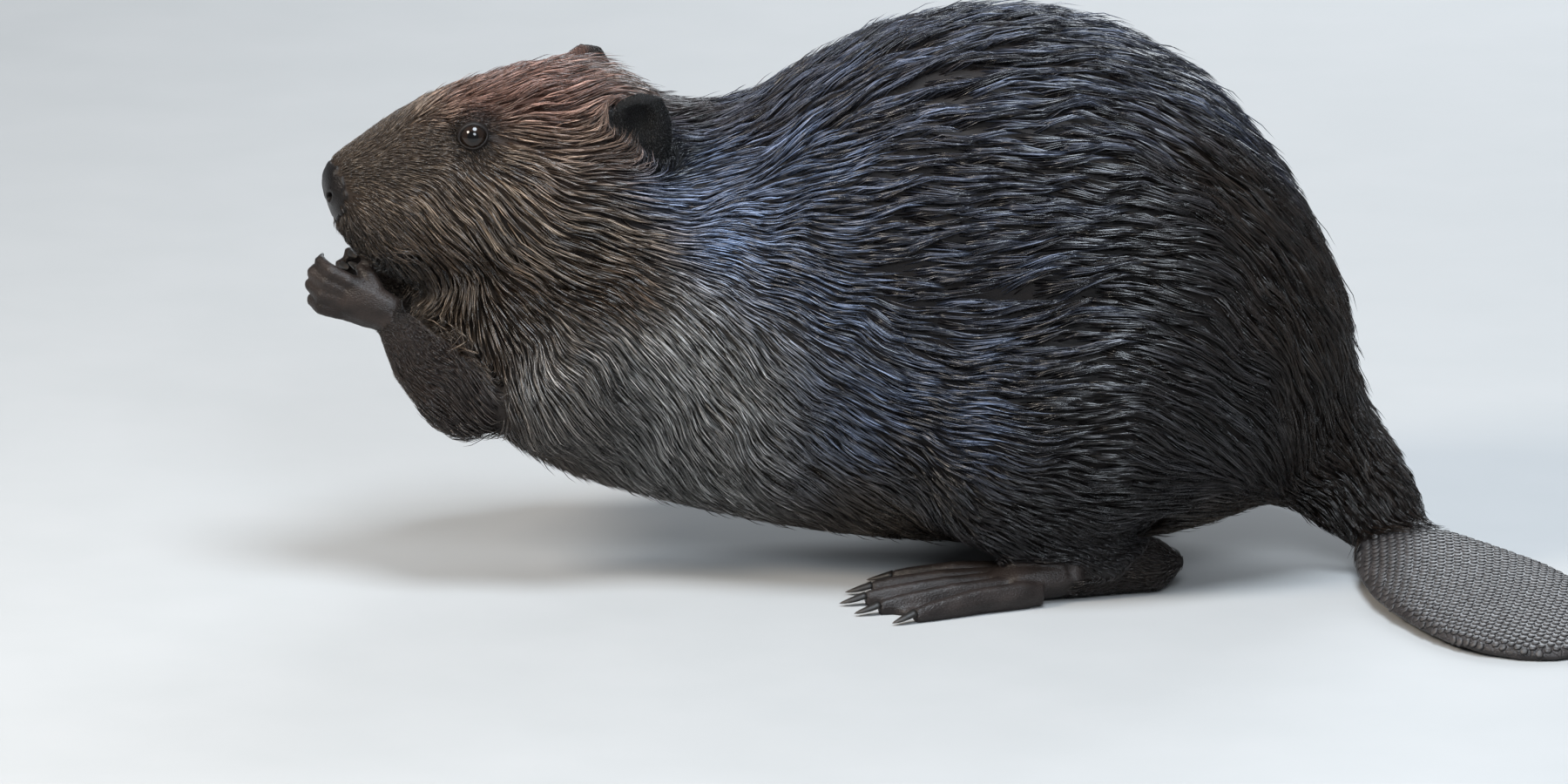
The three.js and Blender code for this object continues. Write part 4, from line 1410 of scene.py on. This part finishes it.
for sign in (-1, 1):
    palm = placedLie((-260, 30, 170), (0.8, 0, -0.2), sign)
    for i in range(1, 6):
        addClaw(f"fore_claw_{sideName(sign)}_{i}", clawDo["foreSlim"], palm)
        addClaw(f"hind_claw_{sideName(sign)}_{i}", clawDo["hindFlat"], np.array((0, 0, -1.0)))
print("claws")

tailDo = {
    "start": (298, -36),  # back and to the right, millimetres
    "heading": -55,  # degrees from straight back
    "sweep": 12,  # and how far it turns on by the tip
    "length": 214,
    "halfWidth": 58,
    "rowStep": 4.3,
    "acrossStep": 5.2,
    "long": 2.75,  # a scale's half length and half width, and its thickness, millimetres
    "wide": 2.75,
    "thick": 0.75,
    "startShare": 0.035,  # of the tail's length, without scales
    "colour": (0.040, 0.034, 0.032),
}


def tailSpots():
    # where scales sit on top of the tail, in staggered rows, with the way to the tip
    rows = int(tailDo["length"] / tailDo["rowStep"]) + 1
    spots, headings = [], []
    for row in range(rows):
        along = row * tailDo["rowStep"] / tailDo["length"]
        if along < tailDo["startShare"]:
            continue
        angle = math.radians(tailDo["heading"] - tailDo["sweep"] * along)
        ahead = np.array((math.cos(angle), math.sin(angle)))
        out = np.array((-math.sin(angle), math.cos(angle)))
        middle = tailDo["start"] + ahead * tailDo["length"] * along
        for step in np.arange(-13, 14) + 0.5 * (row % 2):
            across = step * tailDo["acrossStep"] + rng.normal(0, 0.15)
            arch = 0.055 * across ** 2 / tailDo["halfWidth"]
            spots.append(placed((*(middle + out * across - ahead * arch), 30))[0])
            headings.append((*ahead, 0))
    return np.array(spots), np.array(headings)


def addScales():
    bm = bmesh.new()
    bmesh.ops.create_cone(bm, cap_ends=True, segments=6, radius1=1, radius2=0.6, depth=1)
    bmesh.ops.triangulate(bm, faces=bm.faces)
    bm.verts.index_update()
    shape = np.array([vert.co for vert in bm.verts])
    faces = np.array([[vert.index for vert in face.verts] for face in bm.faces])
    bm.free()
    spots, headings = tailSpots()
    origins, frames, sizes, tints = [], [], [], []
    for spot, heading in zip(spots, headings):
        hit, normal, triangle, _ = skinTree.ray_cast(spot, (0, 0, -1))
        if hit is None or nearNode["tail"][skinTriangles[triangle]].max() > 2.5 or normal.z < 0.28:
            continue
        up = np.array(unit(skinNormals[skinTriangles[triangle]].sum(0)))
        heading = unit(heading - up * (heading @ up))
        lift = unit(up - heading * 0.10)
        frames.append((np.cross(lift, heading) * -tailDo["wide"],
                       unit(heading + up * 0.10) * tailDo["long"], lift * tailDo["thick"]))
        origins.append(np.array(hit) + up * 0.12 * mm)
        sizes.append(rng.uniform(0.93, 1.04))
        tints.append(rng.uniform(0.75, 1.25))
    origins, frames, sizes = np.array(origins), np.array(frames), np.array(sizes)
    points = origins[:, None] + np.einsum("vk,nkj->nvj", shape, frames) * sizes[:, None, None] * mm
    corners = (faces[None] + (np.arange(len(origins)) * len(shape))[:, None, None]).ravel()
    mesh = meshFrom("tail_scales", points.reshape(-1, 3), corners, np.arange(0, len(corners), 3))
    tint = np.repeat(np.array(tints), len(shape))[:, None] * np.array(tailDo["colour"])
    high = np.tile(shape[:, 2] + 0.5, len(origins))
    # each scale darker towards its base and paler on its crown
    setTint(mesh, tint * (0.45 + 0.75 * high[:, None]), high)
    addPiece(linked("tail_scales", mesh), scaleFinish(), "tail_skin")
    print("tail:", len(origins), "scales")


addScales()

whiskerDo = {
    # for each row, the place of its first whisker and how many whiskers it has
    "rows": [(-268, 19, 205, 4), (-266, 18.5, 199, 5), (-262, 21, 194, 5), (-256, 25, 200, 4)],
    "longest": 46,
    "width": 0.34,
    "taper": (1, 0.9, 0.75, 0.55, 0.3, 0),
    "colour": (0.045, 0.034, 0.026),
}


def addWhiskers():
    paths, ups = [], []
    for sign in (-1, 1):
        for back, out, high, count in whiskerDo["rows"]:
            for i in range(count):
                place = (back + i * 4.2 + rng.normal(0, 0.6), out + i * 1.6,
                         high - i * 0.9 + rng.normal(0, 0.6))
                root = placed(place, sign)[0]
                hit, normal, _, _ = skinTree.find_nearest(root)
                outwards = placedLie(place, (0.55, 1, -0.25), sign)
                start = unit(np.array(normal) * 0.7 + outwards + rng.normal(0, 0.12, 3))
                backwards = placedLie(place, (1, 0.1, -0.35), sign)
                length = whiskerDo["longest"] * rng.uniform(0.45, 1) * (0.75 + 0.08 * i)
                shares = np.linspace(0, 1, 6)[:, None]
                bow = start * shares + (backwards - start) * 0.45 * shares ** 2
                sag = np.array((0, 0, 0.12)) * shares ** 3
                line = np.array(hit) - start * 0.5 * mm + (bow - sag) * length * mm
                paths.append(line)
                ups.append(np.broadcast_to(np.array(normal), line.shape))
    paths, ups = np.array(paths), np.array(ups)
    widths = np.tile(whiskerDo["width"] * np.array(whiskerDo["taper"]), (len(paths), 1))
    tint = np.array(whiskerDo["colour"]) * rng.uniform(0.6, 2.2, (len(paths), 1))
    spread = rng.random((len(paths), 2))
    template = strandTemplate((0, 0.2, 0.4, 0.6, 0.8, 1))
    piece = linked("whiskers", strandMesh("whiskers", [(template, paths, ups, widths, tint, spread)]))
    addPiece(piece, wetFur, "fur")


addWhiskers()
print("whiskers")


view = {
    "elevation": 14,  # degrees
    "distance": 14.0,
    "target": (-0.0951, 0.0379, 0.090),
    "lens": 595,  # mm, on a 36 mm wide sensor
}

studio = {  # the world's colour and strength; each light's place, size, watts and colour
    "world": ((0.85, 0.92, 1.0), 0.24),
    "topLight": ((0.10, -0.55, 2.1), 1.0, 54, (0.80, 0.90, 1.0)),
    "sideLight": ((0.25, -2.3, 1.5), 1.0, 38, (0.82, 0.91, 1.0)),
    "keyLight": ((-1.7, -0.9, 1.6), 0.7, 44, (1.0, 0.90, 0.78)),
    "backLight": ((0.55, 2.3, 1.25), 1.4, 44, (0.86, 0.93, 1.0)),
    "aim": (-0.05, 0.02, 0.15),
}


def addCamera():
    camera = bpy.data.objects.new("camera", bpy.data.cameras.new("camera"))
    camera.data.lens = view["lens"]
    camera.data.sensor_width = 36
    camera.data.clip_end = 60
    tilt = math.radians(view["elevation"])
    away = Vector((0, -math.cos(tilt), math.sin(tilt)))
    camera.location = Vector(view["target"]) + away * view["distance"]
    camera.rotation_euler = away.to_track_quat("Z", "Y").to_euler()
    scene.collection.objects.link(camera)
    scene.camera = camera


def addLight(name):
    place, size, watts, colour = studio[name]
    lamp = bpy.data.lights.new(name, "AREA")
    lamp.shape = "DISK"
    lamp.size = size
    lamp.energy = watts
    lamp.color = colour
    holder = bpy.data.objects.new(name, lamp)
    holder.location = place
    holder.rotation_euler = (Vector(place) - Vector(studio["aim"])).to_track_quat("Z", "Y").to_euler()
    scene.collection.objects.link(holder)


def addStudio():
    world = bpy.data.worlds.new("studio")
    scene.world = world
    world.use_nodes = True
    background = world.node_tree.nodes["Background"]
    colour, strength = studio["world"]
    background.inputs["Color"].default_value = (*colour, 1)
    background.inputs["Strength"].default_value = strength
    for name in ("topLight", "sideLight", "keyLight", "backLight"):
        addLight(name)
    bm = bmesh.new()
    bmesh.ops.create_grid(bm, x_segments=1, y_segments=1, size=6)
    floor = fromBmesh("floor", bm)
    floor.data.materials.append(floorFinish())


addCamera()
addStudio()
scene.view_settings.view_transform = "Standard"
